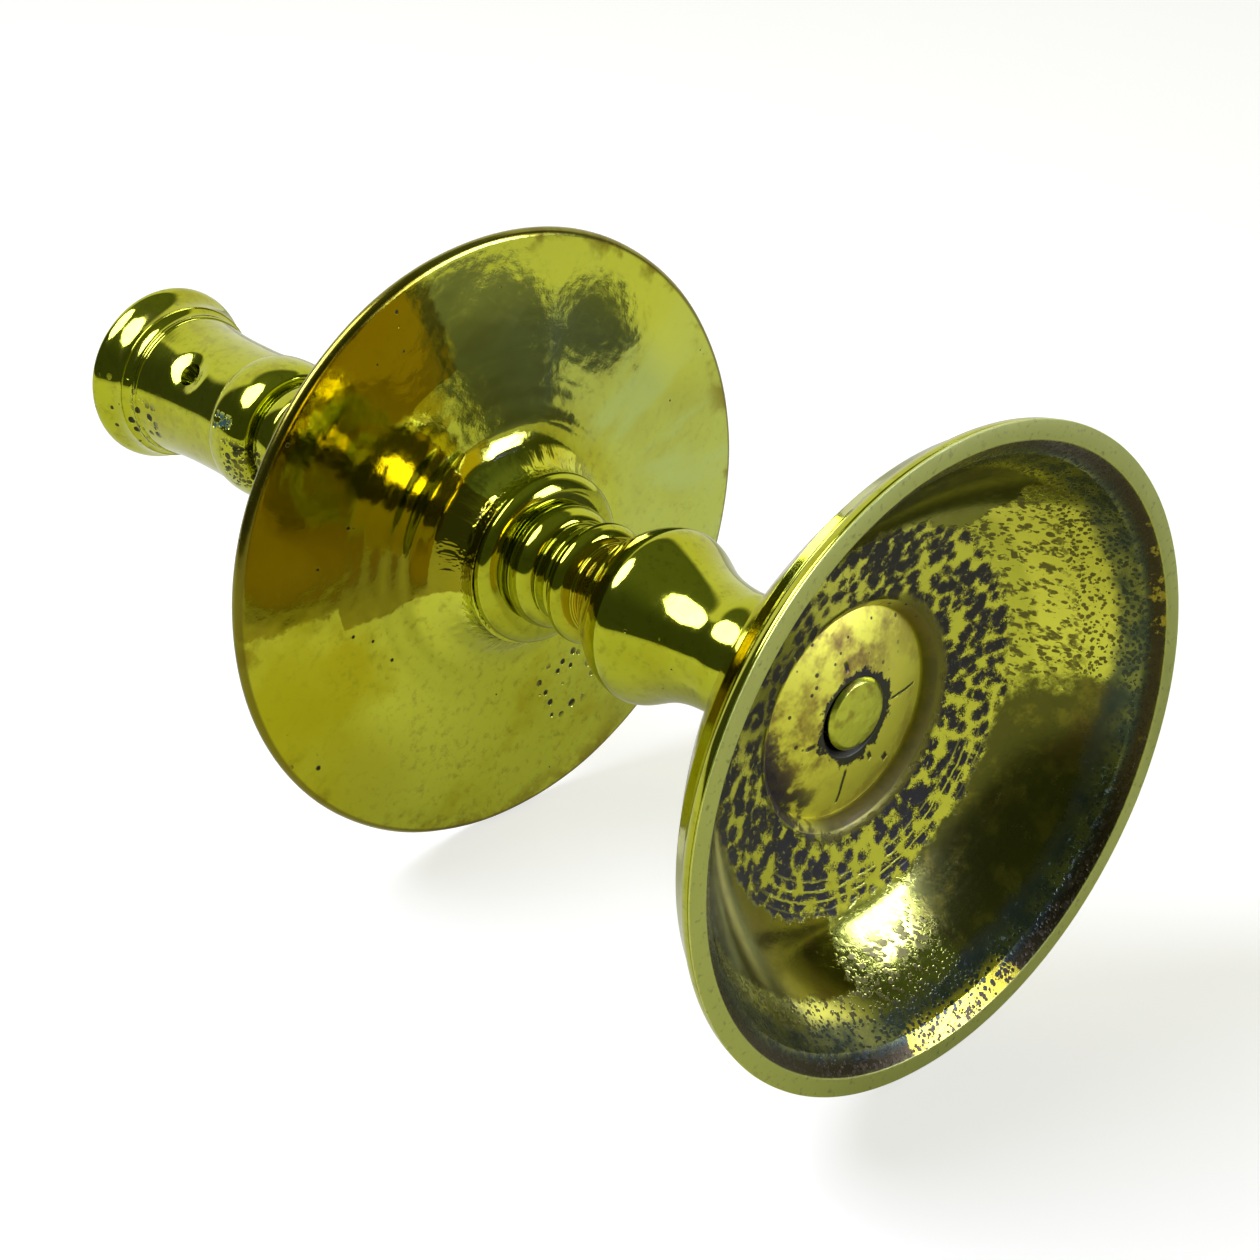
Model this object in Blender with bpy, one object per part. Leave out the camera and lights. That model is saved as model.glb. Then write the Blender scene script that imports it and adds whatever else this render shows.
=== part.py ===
"""Turned brass candlestick with a wide drip pan half way up its stem.

Four castings, each turned true on a lathe: a hollow spreading foot, a baluster
lower stem riveted through it, a dished drip pan, and an upper stem that ends in
the candle socket and screws down through the pan.
Metres, +Z up, origin at the centre of the ring that the foot stands on.
"""
import math

import bmesh
import bpy

MM = 0.001

# Fits between the pieces
SEAT_GAP = 0.3 * MM        # left between two faces that bear on each other
BORE_GAP = 0.3 * MM        # left round a tenon or spigot in its hole
WELD = 0.01 * MM           # points on the turning axis closer than this become one

# Foot, from the table up
FOOT_RADIUS = 56.0 * MM
FOOT_HEIGHT = 28.3 * MM            # table to the flat that carries the stem
FOOT_RING_WIDTH = 3.2 * MM         # flat ring that stands on the table
FOOT_EDGE_HEIGHT = 0.5 * MM        # thin square edge above the table
FOOT_EDGE_STEP = 0.3 * MM          # set-back from the edge to the side
FOOT_COVE_HEIGHT = 3.1 * MM        # hollow side of the foot
FOOT_COVE_RUN = 1.5 * MM
FOOT_ARRIS_HEIGHT = 3.3 * MM       # rounded top of the side, up to the flank
FOOT_ARRIS_RUN = 2.0 * MM
FOOT_SEAT_RADIUS = 18.0 * MM       # flat on top for the stem's base
FOOT_FLANK_RUN = 14.0 * MM         # straight part of the rising flank
FOOT_FLANK_RISE = 13.0 * MM
FOOT_SHOULDER_RUN = 12.0 * MM      # rounded part that turns level at the seat
FOOT_SHOULDER_DROP = 1.1 * MM

# Hollow under the foot
HOLLOW_LIP_HEIGHT = 2.4 * MM       # short leaning wall above the standing ring
HOLLOW_LIP_RUN = 1.2 * MM
HOLLOW_CEILING_RADIUS = 31.0 * MM  # where the bowl meets the flatter ceiling
HOLLOW_CEILING_HEIGHT = 18.5 * MM
HOLLOW_WALL_RUN = 4.0 * MM         # how the bowl leaves the lip
HOLLOW_WALL_RISE = 6.5 * MM
HOLLOW_CEILING_RUN = 9.0 * MM      # how it reaches the ceiling
HOLLOW_CEILING_SLOPE = 2.0 * MM
RECESS_RADIUS = 20.0 * MM          # turned recess round the riveted tenon
RECESS_TAPER = 1.7 * MM
RECESS_MOUTH_HEIGHT = 20.7 * MM
RECESS_DEPTH = 2.8 * MM
BOSS_RISE = 2.3 * MM               # the recess's floor swells down to the rivet

# Tenon of the lower stem, riveted under the foot
TENON_RADIUS = 5.7 * MM
RIVET_SPREAD = 0.7 * MM            # how much wider the hammered end is
RIVET_CONE = 1.0 * MM              # depth of the countersink it fills
RIVET_STAND = 1.0 * MM             # how far its face stands out of the boss
RIVET_CROWN = 0.3 * MM
RIVET_CORNER = 0.8 * MM

# Lower stem, from the foot up
BASE_TORUS_RADIUS = 16.4 * MM
BASE_TORUS_HEIGHT = 3.4 * MM
BASE_TORUS_SWELL = 1.5 * MM
BASE_FILLET_RADIUS = 13.8 * MM
BASE_FILLET_HEIGHT = 0.9 * MM
NECK_FOOT_RADIUS = 13.0 * MM       # bottom of the trumpet below the baluster
NECK_RADIUS = 11.0 * MM
NECK_HEIGHT = 15.1 * MM
BALUSTER_RADIUS = 15.9 * MM
BALUSTER_RISE = 18.1 * MM          # neck to the widest point
BALUSTER_START = 11.5 * MM         # how long the neck stays slender
SHOULDER_HEIGHT = 14.0 * MM        # widest point to the fillets
SHOULDER_RADIUS = 7.9 * MM
SHOULDER_LEAN = 2.9 * MM           # how far the last of the shoulder slopes
SHOULDER_FILLET_RADIUS = 8.4 * MM
SHOULDER_FILLET_HEIGHT = 0.8 * MM
SMALL_RING_RADIUS = 11.2 * MM
SMALL_RING_RISE = 2.3 * MM
SMALL_RING_EDGE = 0.6 * MM
WAIST_RADIUS = 9.2 * MM
WAIST_HEIGHT = 4.0 * MM
WAIST_BEAD_SWELL = 0.6 * MM
WAIST_BEAD_HEIGHT = 1.5 * MM
LARGE_RING_RADIUS = 11.6 * MM
LARGE_RING_RISE = 3.8 * MM
LARGE_RING_EDGE = 0.5 * MM
FLANGE_FILLET_RADIUS = 10.9 * MM
FLANGE_FILLET_HEIGHT = 1.0 * MM
FLANGE_ROOT_RADIUS = 12.2 * MM
FLANGE_RADIUS = 16.1 * MM
FLANGE_RISE = 2.6 * MM
FLANGE_EDGE = 0.5 * MM

# Drip pan
PAN_RADIUS = 58.0 * MM
COLLAR_RADIUS = 15.9 * MM          # where it bears on the lower stem
COLLAR_EDGE = 1.0 * MM
COLLAR_SWEEP_RADIUS = 25.0 * MM    # where the hollow sweep meets the underside
COLLAR_SWEEP_HEIGHT = 6.6 * MM
PAN_RISE = 2.7 * MM                # rise of the underside from sweep to rim
PAN_WALL = 2.0 * MM
PAN_RIM_THICKNESS = 2.6 * MM
PAN_LAND_RADIUS = 16.5 * MM        # flat on top for the upper stem's base
PAN_LAND_THICKNESS = 2.6 * MM      # metal over the sweep's upper end

# Upper stem, from the pan up
SPIGOT_RADIUS = 4.2 * MM
SPIGOT_REACH = 10.0 * MM           # how far it screws into the lower stem
SPIGOT_END_GAP = 1.0 * MM
FOOT_RING_RADIUS = 15.0 * MM
FOOT_RING_HEIGHT = 3.4 * MM
FOOT_RING_CURL = 2.0 * MM
LOWER_COVE_RADIUS = 9.3 * MM
LOWER_COVE_START = 12.0 * MM
LOWER_COVE_HEIGHT = 5.4 * MM
LOWER_BEAD_RADIUS = 10.9 * MM
LOWER_BEAD_HEIGHT = 2.4 * MM
VASE_START_RADIUS = 9.2 * MM
VASE_RADIUS = 13.4 * MM
VASE_RISE = 9.8 * MM
VASE_NECK_RADIUS = 7.9 * MM
VASE_NECK_RISE = 21.5 * MM
UPPER_BEAD_RADIUS = 10.4 * MM
UPPER_BEAD_HEIGHT = 2.4 * MM
UPPER_COVE_HEIGHT = 12.5 * MM
UPPER_COVE_RADIUS = 8.7 * MM
COLLET_RADIUS = 12.0 * MM
COLLET_HEIGHT = 4.8 * MM
COLLET_CURL = 1.0 * MM
GROOVE_RADIUS = 10.9 * MM
GROOVE_HEIGHT = 1.3 * MM
KNOP_ROOT_RADIUS = 12.2 * MM
KNOP_RADIUS = 14.65 * MM
KNOP_LOWER = 6.6 * MM              # below its widest line
KNOP_UPPER = 4.4 * MM              # above its widest line

# Candle socket
SOCKET_ROOT_RADIUS = 13.85 * MM
SOCKET_WAIST_RADIUS = 13.7 * MM
SOCKET_WAIST_RISE = 7.5 * MM
SOCKET_TOP_RADIUS = 14.6 * MM
SOCKET_TOP_RISE = 18.1 * MM
SOCKET_BEAD_HEIGHT = 1.2 * MM
SOCKET_BEAD_SWELL = 0.4 * MM
BAND_ROOT_RADIUS = 14.8 * MM
BAND_RADIUS = 15.8 * MM
BAND_HEIGHT = 2.4 * MM
BAND_STEP = 0.3 * MM
LIP_FLARE_RADIUS = 17.4 * MM       # where the hollow flare turns into the rounded edge
LIP_FLARE_HEIGHT = 4.4 * MM
LIP_FLARE_LEAN = 0.6 * MM
LIP_RADIUS = 18.4 * MM
LIP_EDGE_HEIGHT = 2.6 * MM
LIP_ROUND = 0.8 * MM
BORE_RADIUS = 10.4 * MM            # at the mouth
BORE_TAPER = 1.2 * MM              # narrower at the floor by this, to grip the candle
BORE_DEPTH = 33.5 * MM
BORE_MOUTH_CHAMFER = 0.8 * MM
PUSH_HOLE_RADIUS = 3.0 * MM        # for pushing out a stub of candle
PUSH_HOLE_RISE = 9.2 * MM          # its centre above the bore's floor
PUSH_HOLE_COUNT = 1

# Facets round each turned piece
WIDE_FACETS = 52
STEM_FACETS = 32
HOLE_FACETS = 20


class Outline:
    """Half-section of a turned piece, drawn upwards from its lower end."""

    def __init__(self, radius, height):
        self.points = [(radius, height)]

    @property
    def radius(self):
        return self.points[-1][0]

    @property
    def height(self):
        return self.points[-1][1]

    def go(self, radius, rise=0.0):
        """Straight line to a radius, rising by the amount given."""
        self.points.append((radius, self.height + rise))
        return self

    def fillet(self, radius, height):
        """Flat step to a radius, then an upright band."""
        return self.go(radius).go(radius, height)

    def quarter(self, radius, rise, starts, steps=4):
        """Quarter of an ellipse that starts level or upright."""
        start_radius, start_height = self.points[-1]
        for step in range(1, steps + 1):
            angle = math.radians(90.0 * step / steps)
            if starts == "level":
                out, up = math.sin(angle), 1.0 - math.cos(angle)
            else:
                out, up = 1.0 - math.cos(angle), math.sin(angle)
            self.points.append((start_radius + (radius - start_radius) * out,
                                start_height + rise * up))
        return self

    def torus(self, swell, height, steps=6):
        """Half-round bulge that returns to the radius it left."""
        start_radius, start_height = self.points[-1]
        for step in range(1, steps + 1):
            angle = math.radians(180.0 * step / steps)
            self.points.append((start_radius + swell * math.sin(angle),
                                start_height + height * (1.0 - math.cos(angle)) / 2.0))
        return self

    def curve(self, radius, rise, leave, arrive, steps=6):
        """Cubic curve; leave and arrive are its two handles as (out, up)."""
        first = self.points[-1]
        last = (radius, first[1] + rise)
        near = (first[0] + leave[0], first[1] + leave[1])
        far = (last[0] - arrive[0], last[1] - arrive[1])
        for step in range(1, steps + 1):
            share = step / steps
            rest = 1.0 - share
            weights = (rest ** 3, 3 * rest * rest * share, 3 * rest * share * share, share ** 3)
            self.points.append(tuple(
                sum(weight * point[axis] for weight, point in zip(weights, (first, near, far, last)))
                for axis in (0, 1)))
        return self


def brass(name, colour, roughness):
    """Old cast brass, greenish yellow and softly polished."""
    material = bpy.data.materials.new(name)
    material.use_nodes = True
    shader = material.node_tree.nodes["Principled BSDF"]
    shader.inputs["Base Color"].default_value = (*colour, 1.0)
    shader.inputs["Metallic"].default_value = 1.0
    shader.inputs["Roughness"].default_value = roughness
    return material


def turn(name, points, facets, material, ring=False):
    """Turn a half-section about Z; the points run down its outer side."""
    mesh = bpy.data.meshes.new(name)
    shape = bmesh.new()
    corners = [shape.verts.new((radius, 0.0, height)) for radius, height in points]
    for lower, upper in zip(corners, corners[1:]):
        shape.edges.new((lower, upper))
    if ring:
        shape.edges.new((corners[-1], corners[0]))
    shape.to_mesh(mesh)
    shape.free()
    piece = bpy.data.objects.new(name, mesh)
    bpy.context.collection.objects.link(piece)
    mesh.materials.append(material)
    screw = piece.modifiers.new("turning", "SCREW")
    screw.axis = "Z"
    screw.angle = math.tau
    screw.steps = facets
    screw.render_steps = facets
    screw.use_merge_vertices = True
    screw.merge_threshold = WELD
    screw.use_smooth_shade = True
    return piece


def foot():
    """Hollow spreading foot with a turned edge and a recess for the rivet."""
    outside = Outline(FOOT_RADIUS - FOOT_RING_WIDTH, 0.0)
    outside.go(FOOT_RADIUS).go(FOOT_RADIUS, FOOT_EDGE_HEIGHT)
    outside.go(FOOT_RADIUS - FOOT_EDGE_STEP)
    outside.curve(outside.radius - FOOT_COVE_RUN, FOOT_COVE_HEIGHT, leave=(0.0, FOOT_COVE_HEIGHT / 2),
                  arrive=(-FOOT_COVE_RUN / 2, FOOT_COVE_HEIGHT / 4), steps=4)
    outside.curve(outside.radius - FOOT_ARRIS_RUN, FOOT_ARRIS_HEIGHT,
                  leave=(-FOOT_ARRIS_RUN / 3, FOOT_ARRIS_HEIGHT / 3),
                  arrive=(-FOOT_ARRIS_RUN / 2, FOOT_ARRIS_HEIGHT / 3), steps=3)
    outside.curve(FOOT_SEAT_RADIUS, FOOT_HEIGHT - outside.height,
                  leave=(-FOOT_FLANK_RUN, FOOT_FLANK_RISE),
                  arrive=(-FOOT_SHOULDER_RUN, FOOT_SHOULDER_DROP), steps=9)

    hole_radius = TENON_RADIUS + BORE_GAP
    inside = Outline(FOOT_RADIUS - FOOT_RING_WIDTH, 0.0)
    inside.go(inside.radius - HOLLOW_LIP_RUN, HOLLOW_LIP_HEIGHT)
    inside.curve(HOLLOW_CEILING_RADIUS, HOLLOW_CEILING_HEIGHT - inside.height,
                 leave=(-HOLLOW_WALL_RUN, HOLLOW_WALL_RISE),
                 arrive=(-HOLLOW_CEILING_RUN, HOLLOW_CEILING_SLOPE), steps=8)
    inside.go(RECESS_RADIUS, RECESS_MOUTH_HEIGHT - inside.height)
    inside.go(RECESS_RADIUS - RECESS_TAPER, RECESS_DEPTH)
    inside.go(hole_radius + RIVET_SPREAD, -BOSS_RISE)
    inside.go(hole_radius, RIVET_CONE)
    inside.go(hole_radius, FOOT_HEIGHT - inside.height)

    section = outside.points[::-1] + inside.points[1:]
    return turn("foot", section, WIDE_FACETS, brass("foot_brass", (0.50, 0.42, 0.13), 0.24), ring=True)


def lower_stem(seat):
    """Baluster stem; its tenon goes down through the foot and is riveted there."""
    boss_face = RECESS_MOUTH_HEIGHT + RECESS_DEPTH - BOSS_RISE
    rivet_radius = TENON_RADIUS + RIVET_SPREAD
    section = Outline(0.0, boss_face - RIVET_STAND)
    section.go(rivet_radius - RIVET_CORNER, RIVET_CROWN)
    section.go(rivet_radius, RIVET_STAND - RIVET_CROWN)
    section.go(TENON_RADIUS, RIVET_CONE)
    section.go(TENON_RADIUS, seat - section.height)
    section.go(BASE_TORUS_RADIUS - BASE_TORUS_SWELL)
    section.torus(BASE_TORUS_SWELL, BASE_TORUS_HEIGHT)
    section.fillet(BASE_FILLET_RADIUS, BASE_FILLET_HEIGHT)
    section.go(NECK_FOOT_RADIUS)
    section.curve(NECK_RADIUS, NECK_HEIGHT, leave=(NECK_RADIUS - NECK_FOOT_RADIUS, NECK_HEIGHT / 4),
                  arrive=(0.0, NECK_HEIGHT / 2), steps=5)
    section.curve(BALUSTER_RADIUS, BALUSTER_RISE, leave=(0.0, BALUSTER_START),
                  arrive=(0.0, BALUSTER_RISE / 5), steps=7)
    section.curve(SHOULDER_RADIUS, SHOULDER_HEIGHT, leave=(0.0, SHOULDER_HEIGHT / 3),
                  arrive=(-SHOULDER_LEAN, SHOULDER_HEIGHT / 3), steps=7)
    section.fillet(SHOULDER_FILLET_RADIUS, SHOULDER_FILLET_HEIGHT)
    section.quarter(SMALL_RING_RADIUS, SMALL_RING_RISE, "level")
    section.go(SMALL_RING_RADIUS, SMALL_RING_EDGE)
    section.fillet(WAIST_RADIUS, WAIST_HEIGHT / 2)
    section.torus(WAIST_BEAD_SWELL, WAIST_BEAD_HEIGHT, steps=4)
    section.go(WAIST_RADIUS, WAIST_HEIGHT / 2)
    section.quarter(LARGE_RING_RADIUS, LARGE_RING_RISE, "level", steps=5)
    section.go(LARGE_RING_RADIUS, LARGE_RING_EDGE)
    section.fillet(FLANGE_FILLET_RADIUS, FLANGE_FILLET_HEIGHT)
    section.go(FLANGE_ROOT_RADIUS)
    section.quarter(FLANGE_RADIUS, FLANGE_RISE, "level", steps=5)
    section.go(FLANGE_RADIUS, FLANGE_EDGE)
    top = section.height
    section.go(SPIGOT_RADIUS + BORE_GAP)
    section.go(SPIGOT_RADIUS + BORE_GAP, -(SPIGOT_REACH + SPIGOT_END_GAP))
    section.go(0.0)
    piece = turn("lower_stem", section.points[::-1], STEM_FACETS,
                 brass("lower_stem_brass", (0.47, 0.41, 0.12), 0.16))
    return piece, top


def drip_pan(seat):
    """Dished pan with a hollow-swept collar underneath and a rounded rim."""
    bore = SPIGOT_RADIUS + BORE_GAP
    under = Outline(bore, seat)
    under.go(COLLAR_RADIUS).go(COLLAR_RADIUS, COLLAR_EDGE)
    under.quarter(COLLAR_SWEEP_RADIUS, COLLAR_SWEEP_HEIGHT, "upright", steps=5)
    rim_start = PAN_RADIUS - PAN_RIM_THICKNESS / 2
    under.curve(rim_start, PAN_RISE, leave=((rim_start - under.radius) / 3, PAN_RISE / 6),
                arrive=((rim_start - under.radius) / 3, PAN_RISE / 2), steps=5)
    land = seat + COLLAR_EDGE + COLLAR_SWEEP_HEIGHT + PAN_LAND_THICKNESS
    under.torus(PAN_RIM_THICKNESS / 2, PAN_RIM_THICKNESS, steps=6)
    rim_top = under.height
    wall_start = rim_start - PAN_RIM_THICKNESS
    under.go(wall_start, PAN_WALL - PAN_RIM_THICKNESS)
    under.curve(PAN_LAND_RADIUS, land - under.height,
                leave=(-(wall_start - PAN_LAND_RADIUS) / 3, -PAN_RISE / 2),
                arrive=(-(wall_start - PAN_LAND_RADIUS) / 3, 0.0), steps=5)
    under.go(bore)
    piece = turn("drip_pan", under.points[::-1], WIDE_FACETS,
                 brass("drip_pan_brass", (0.52, 0.45, 0.14), 0.14), ring=True)
    return piece, land, rim_top


def upper_stem(seat, spigot_end):
    """Upper stem with the candle socket; its spigot screws into the lower stem."""
    section = Outline(0.0, spigot_end)
    section.go(SPIGOT_RADIUS).go(SPIGOT_RADIUS, seat - spigot_end)
    section.go(FOOT_RING_RADIUS).go(FOOT_RING_RADIUS, FOOT_RING_HEIGHT - FOOT_RING_CURL)
    section.quarter(LOWER_COVE_START, FOOT_RING_CURL, "upright", steps=3)
    section.quarter(LOWER_COVE_RADIUS, LOWER_COVE_HEIGHT, "level", steps=4)
    section.torus(LOWER_BEAD_RADIUS - LOWER_COVE_RADIUS, LOWER_BEAD_HEIGHT, steps=4)
    section.go(VASE_START_RADIUS)
    section.curve(VASE_RADIUS, VASE_RISE, leave=(VASE_RADIUS - VASE_START_RADIUS, VASE_RISE / 4),
                  arrive=(0.0, VASE_RISE / 3), steps=5)
    section.curve(VASE_NECK_RADIUS, VASE_NECK_RISE, leave=(0.0, VASE_NECK_RISE / 3),
                  arrive=(0.0, VASE_NECK_RISE / 3), steps=6)
    section.torus(UPPER_BEAD_RADIUS - VASE_NECK_RADIUS, UPPER_BEAD_HEIGHT, steps=4)
    section.go(UPPER_COVE_RADIUS)
    section.quarter(COLLET_RADIUS - COLLET_CURL, UPPER_COVE_HEIGHT, "upright", steps=4)
    section.quarter(COLLET_RADIUS, COLLET_CURL, "level", steps=2)
    section.go(COLLET_RADIUS, COLLET_HEIGHT - 2 * COLLET_CURL)
    section.quarter(COLLET_RADIUS - COLLET_CURL, COLLET_CURL, "upright", steps=2)
    section.fillet(GROOVE_RADIUS, GROOVE_HEIGHT)
    section.go(KNOP_ROOT_RADIUS)
    section.quarter(KNOP_RADIUS, KNOP_LOWER, "level", steps=4)
    section.quarter(SOCKET_ROOT_RADIUS, KNOP_UPPER, "upright", steps=4)
    section.curve(SOCKET_WAIST_RADIUS, SOCKET_WAIST_RISE, leave=(0.0, SOCKET_WAIST_RISE / 3),
                  arrive=(0.0, SOCKET_WAIST_RISE / 3), steps=2)
    section.curve(SOCKET_TOP_RADIUS, SOCKET_TOP_RISE, leave=(0.0, SOCKET_TOP_RISE / 2),
                  arrive=(SOCKET_TOP_RADIUS - SOCKET_ROOT_RADIUS, SOCKET_TOP_RISE / 3), steps=4)
    section.torus(SOCKET_BEAD_SWELL, SOCKET_BEAD_HEIGHT, steps=4)
    section.go(BAND_ROOT_RADIUS)
    section.curve(BAND_RADIUS, BAND_HEIGHT, leave=(0.0, BAND_HEIGHT / 3),
                  arrive=(BAND_RADIUS - BAND_ROOT_RADIUS, BAND_HEIGHT / 2), steps=3)
    section.go(BAND_RADIUS + BAND_STEP)
    section.curve(LIP_FLARE_RADIUS, LIP_FLARE_HEIGHT, leave=(0.0, LIP_FLARE_HEIGHT / 2),
                  arrive=(LIP_FLARE_LEAN, LIP_FLARE_HEIGHT / 4), steps=3)
    section.curve(LIP_RADIUS, LIP_EDGE_HEIGHT, leave=(LIP_FLARE_LEAN, LIP_EDGE_HEIGHT / 3),
                  arrive=(0.0, LIP_EDGE_HEIGHT / 3), steps=3)
    section.quarter(LIP_RADIUS - LIP_ROUND, LIP_ROUND, "upright", steps=3)
    top = section.height
    section.go(BORE_RADIUS + BORE_MOUTH_CHAMFER)
    section.go(BORE_RADIUS, -BORE_MOUTH_CHAMFER)
    section.go(BORE_RADIUS - BORE_TAPER, BORE_MOUTH_CHAMFER - BORE_DEPTH)
    section.go(0.0)
    piece = turn("upper_stem", section.points[::-1], STEM_FACETS,
                 brass("upper_stem_brass", (0.47, 0.41, 0.12), 0.16))
    for index in range(PUSH_HOLE_COUNT):
        cut_push_hole(piece, top - BORE_DEPTH + PUSH_HOLE_RISE, index)
    return piece, top


def cut_push_hole(piece, height, index):
    """Drill one wall of the socket; the first hole faces -Y."""
    angle = math.tau * index / PUSH_HOLE_COUNT - math.pi / 2
    wall = SOCKET_WAIST_RADIUS - (BORE_RADIUS - BORE_TAPER)
    middle = SOCKET_WAIST_RADIUS - wall / 2
    bpy.ops.mesh.primitive_cylinder_add(
        vertices=HOLE_FACETS, radius=PUSH_HOLE_RADIUS, depth=2 * wall,
        location=(middle * math.cos(angle), middle * math.sin(angle), height),
        rotation=(math.pi / 2, 0.0, angle + math.pi / 2))
    cutter = bpy.context.object
    cutter.name = f"push_hole_cutter_{index}"
    cutter.hide_render = True
    cutter.display_type = "WIRE"
    cut = piece.modifiers.new(f"push_hole_{index}", "BOOLEAN")
    cut.operation = "DIFFERENCE"
    cut.object = cutter


def build():
    """Stack the four pieces, each on the one below."""
    for old in list(bpy.data.objects):
        bpy.data.objects.remove(old)
    foot()
    stem_piece, stem_top = lower_stem(FOOT_HEIGHT + SEAT_GAP)
    pan_piece, pan_land, rim_top = drip_pan(stem_top + SEAT_GAP)
    socket_piece, top = upper_stem(pan_land + SEAT_GAP, stem_top - SPIGOT_REACH)
    print(f"pan joint {stem_top / MM:.2f} mm, pan land {pan_land / MM:.2f} mm, "
          f"pan rim {rim_top / MM:.2f} mm, height {top / MM:.2f} mm")


build()
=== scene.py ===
import math

import bmesh
import bpy
from mathutils import Matrix, Quaternion, Vector


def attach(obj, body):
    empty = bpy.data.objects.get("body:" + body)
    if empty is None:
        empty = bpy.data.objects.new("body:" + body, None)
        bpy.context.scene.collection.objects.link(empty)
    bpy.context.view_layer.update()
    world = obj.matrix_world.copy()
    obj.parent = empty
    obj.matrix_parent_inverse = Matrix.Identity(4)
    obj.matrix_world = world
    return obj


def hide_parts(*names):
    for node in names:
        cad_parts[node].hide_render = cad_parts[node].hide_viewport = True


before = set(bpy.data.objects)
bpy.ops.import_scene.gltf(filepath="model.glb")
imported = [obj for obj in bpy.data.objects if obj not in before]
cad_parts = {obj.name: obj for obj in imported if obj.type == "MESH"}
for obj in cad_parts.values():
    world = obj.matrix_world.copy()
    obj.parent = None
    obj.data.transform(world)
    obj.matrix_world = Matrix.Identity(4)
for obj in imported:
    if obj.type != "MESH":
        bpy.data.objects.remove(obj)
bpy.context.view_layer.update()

MM = 0.001

# View
# The candlestick is photographed lying on a white table, from below its foot. Here it keeps the
# frame's upright place, so the camera and the table are turned round it instead.
LENS_MM = 70.96
SENSOR_MM = 36.0
CAMERA_PLACE = Vector((-39.9, -321.5, -209.0)) * MM
CAMERA_AIM = Vector((-3.8, 0.4, 71.5)) * MM
CAMERA_ROLL = math.radians(62.8)


def added(name, data):
    """A new object of the scene that shows a mesh or camera."""
    thing = bpy.data.objects.new(name, data)
    bpy.context.scene.collection.objects.link(thing)
    return thing


camera_data = bpy.data.cameras.new("camera")
camera_data.lens = LENS_MM
camera_data.sensor_width = SENSOR_MM
camera = added("camera", camera_data)
camera.location = CAMERA_PLACE
camera.rotation_mode = "QUATERNION"
aim = (CAMERA_AIM - CAMERA_PLACE).to_track_quat("-Z", "Y")
camera.rotation_quaternion = aim @ Quaternion((0, 0, 1), -CAMERA_ROLL)
bpy.context.scene.camera = camera
bpy.context.scene.view_settings.view_transform = "Standard"


# Turning
# Every piece is a casting finished on a lathe, so each is drawn as half a section in mm, from
# its lower end upwards, and turned about the stem's axis by one tree of nodes.
POINT_SPACING = 0.42         # along curves of a section, in mm
FACETS = 288
CORNER_WEAR = 0.2            # how far a sharp corner is rubbed round, in mm
CORNER_TURN = math.radians(18)   # a turn of the outline that counts as a corner
CORNER_STEPS = 4
CREASE = math.radians(40)    # a turn between faces that stays sharp in the shading


class Outline:
    """Half-section of a turned piece as points of (radius, height), in mm."""

    def __init__(self, radius, height):
        self.points = [(radius, height)]

    @property
    def radius(self):
        return self.points[-1][0]

    @property
    def height(self):
        return self.points[-1][1]

    def steps(self, radius, rise):
        return max(4, round(math.hypot(radius - self.radius, rise) / POINT_SPACING))

    def go(self, radius, rise=0.0):
        """Straight to a radius, rising by the amount given."""
        self.points.append((radius, self.height + rise))
        return self

    def fillet(self, radius, height):
        """Flat step to a radius, then an upright band."""
        return self.go(radius).go(radius, height)

    def quarter(self, radius, rise, starts):
        """Quarter of an ellipse that starts level or upright."""
        first, count = self.points[-1], self.steps(radius, rise)
        for step in range(1, count + 1):
            angle = math.pi / 2 * step / count
            out, up = math.sin(angle), 1.0 - math.cos(angle)
            if starts == "upright":
                out, up = 1.0 - math.cos(angle), math.sin(angle)
            self.points.append((first[0] + (radius - first[0]) * out, first[1] + rise * up))
        return self

    def torus(self, swell, height):
        """Half-round bulge, or a groove if swell is negative, back to the radius it left."""
        first, count = self.points[-1], 2 * self.steps(self.radius + abs(swell), height / 2)
        for step in range(1, count + 1):
            angle = math.pi * step / count
            self.points.append((first[0] + swell * math.sin(angle),
                                first[1] + height * (1.0 - math.cos(angle)) / 2))
        return self

    def curve(self, radius, rise, leave, arrive):
        """Cubic curve; leave and arrive are its two handles as (out, up)."""
        first, last = self.points[-1], (radius, self.height + rise)
        near = (first[0] + leave[0], first[1] + leave[1])
        far = (last[0] - arrive[0], last[1] - arrive[1])
        count = self.steps(radius, rise)
        for step in range(1, count + 1):
            share = step / count
            rest = 1.0 - share
            weights = (rest ** 3, 3 * rest * rest * share, 3 * rest * share * share, share ** 3)
            pairs = list(zip(weights, (first, near, far, last)))
            self.points.append(tuple(sum(w * p[axis] for w, p in pairs) for axis in (0, 1)))
        return self

    def worn(self, width, closed):
        """The points with each sharp corner rubbed round, by a width at most."""
        points, kept = [Vector(p) for p in self.points], []
        for index, here in enumerate(points):
            if not closed and index in (0, len(points) - 1):
                kept.append(here)
                continue
            before = points[index - 1] - here
            after = points[(index + 1) % len(points)] - here
            if math.pi - before.angle(after, math.pi) < CORNER_TURN:
                kept.append(here)
                continue
            start = here + before.normalized() * min(width, before.length * 0.4)
            end = here + after.normalized() * min(width, after.length * 0.4)
            for step in range(CORNER_STEPS):
                share = step / (CORNER_STEPS - 1)
                kept.append(start.lerp(here, share).lerp(here.lerp(end, share), share))
        return kept


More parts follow.
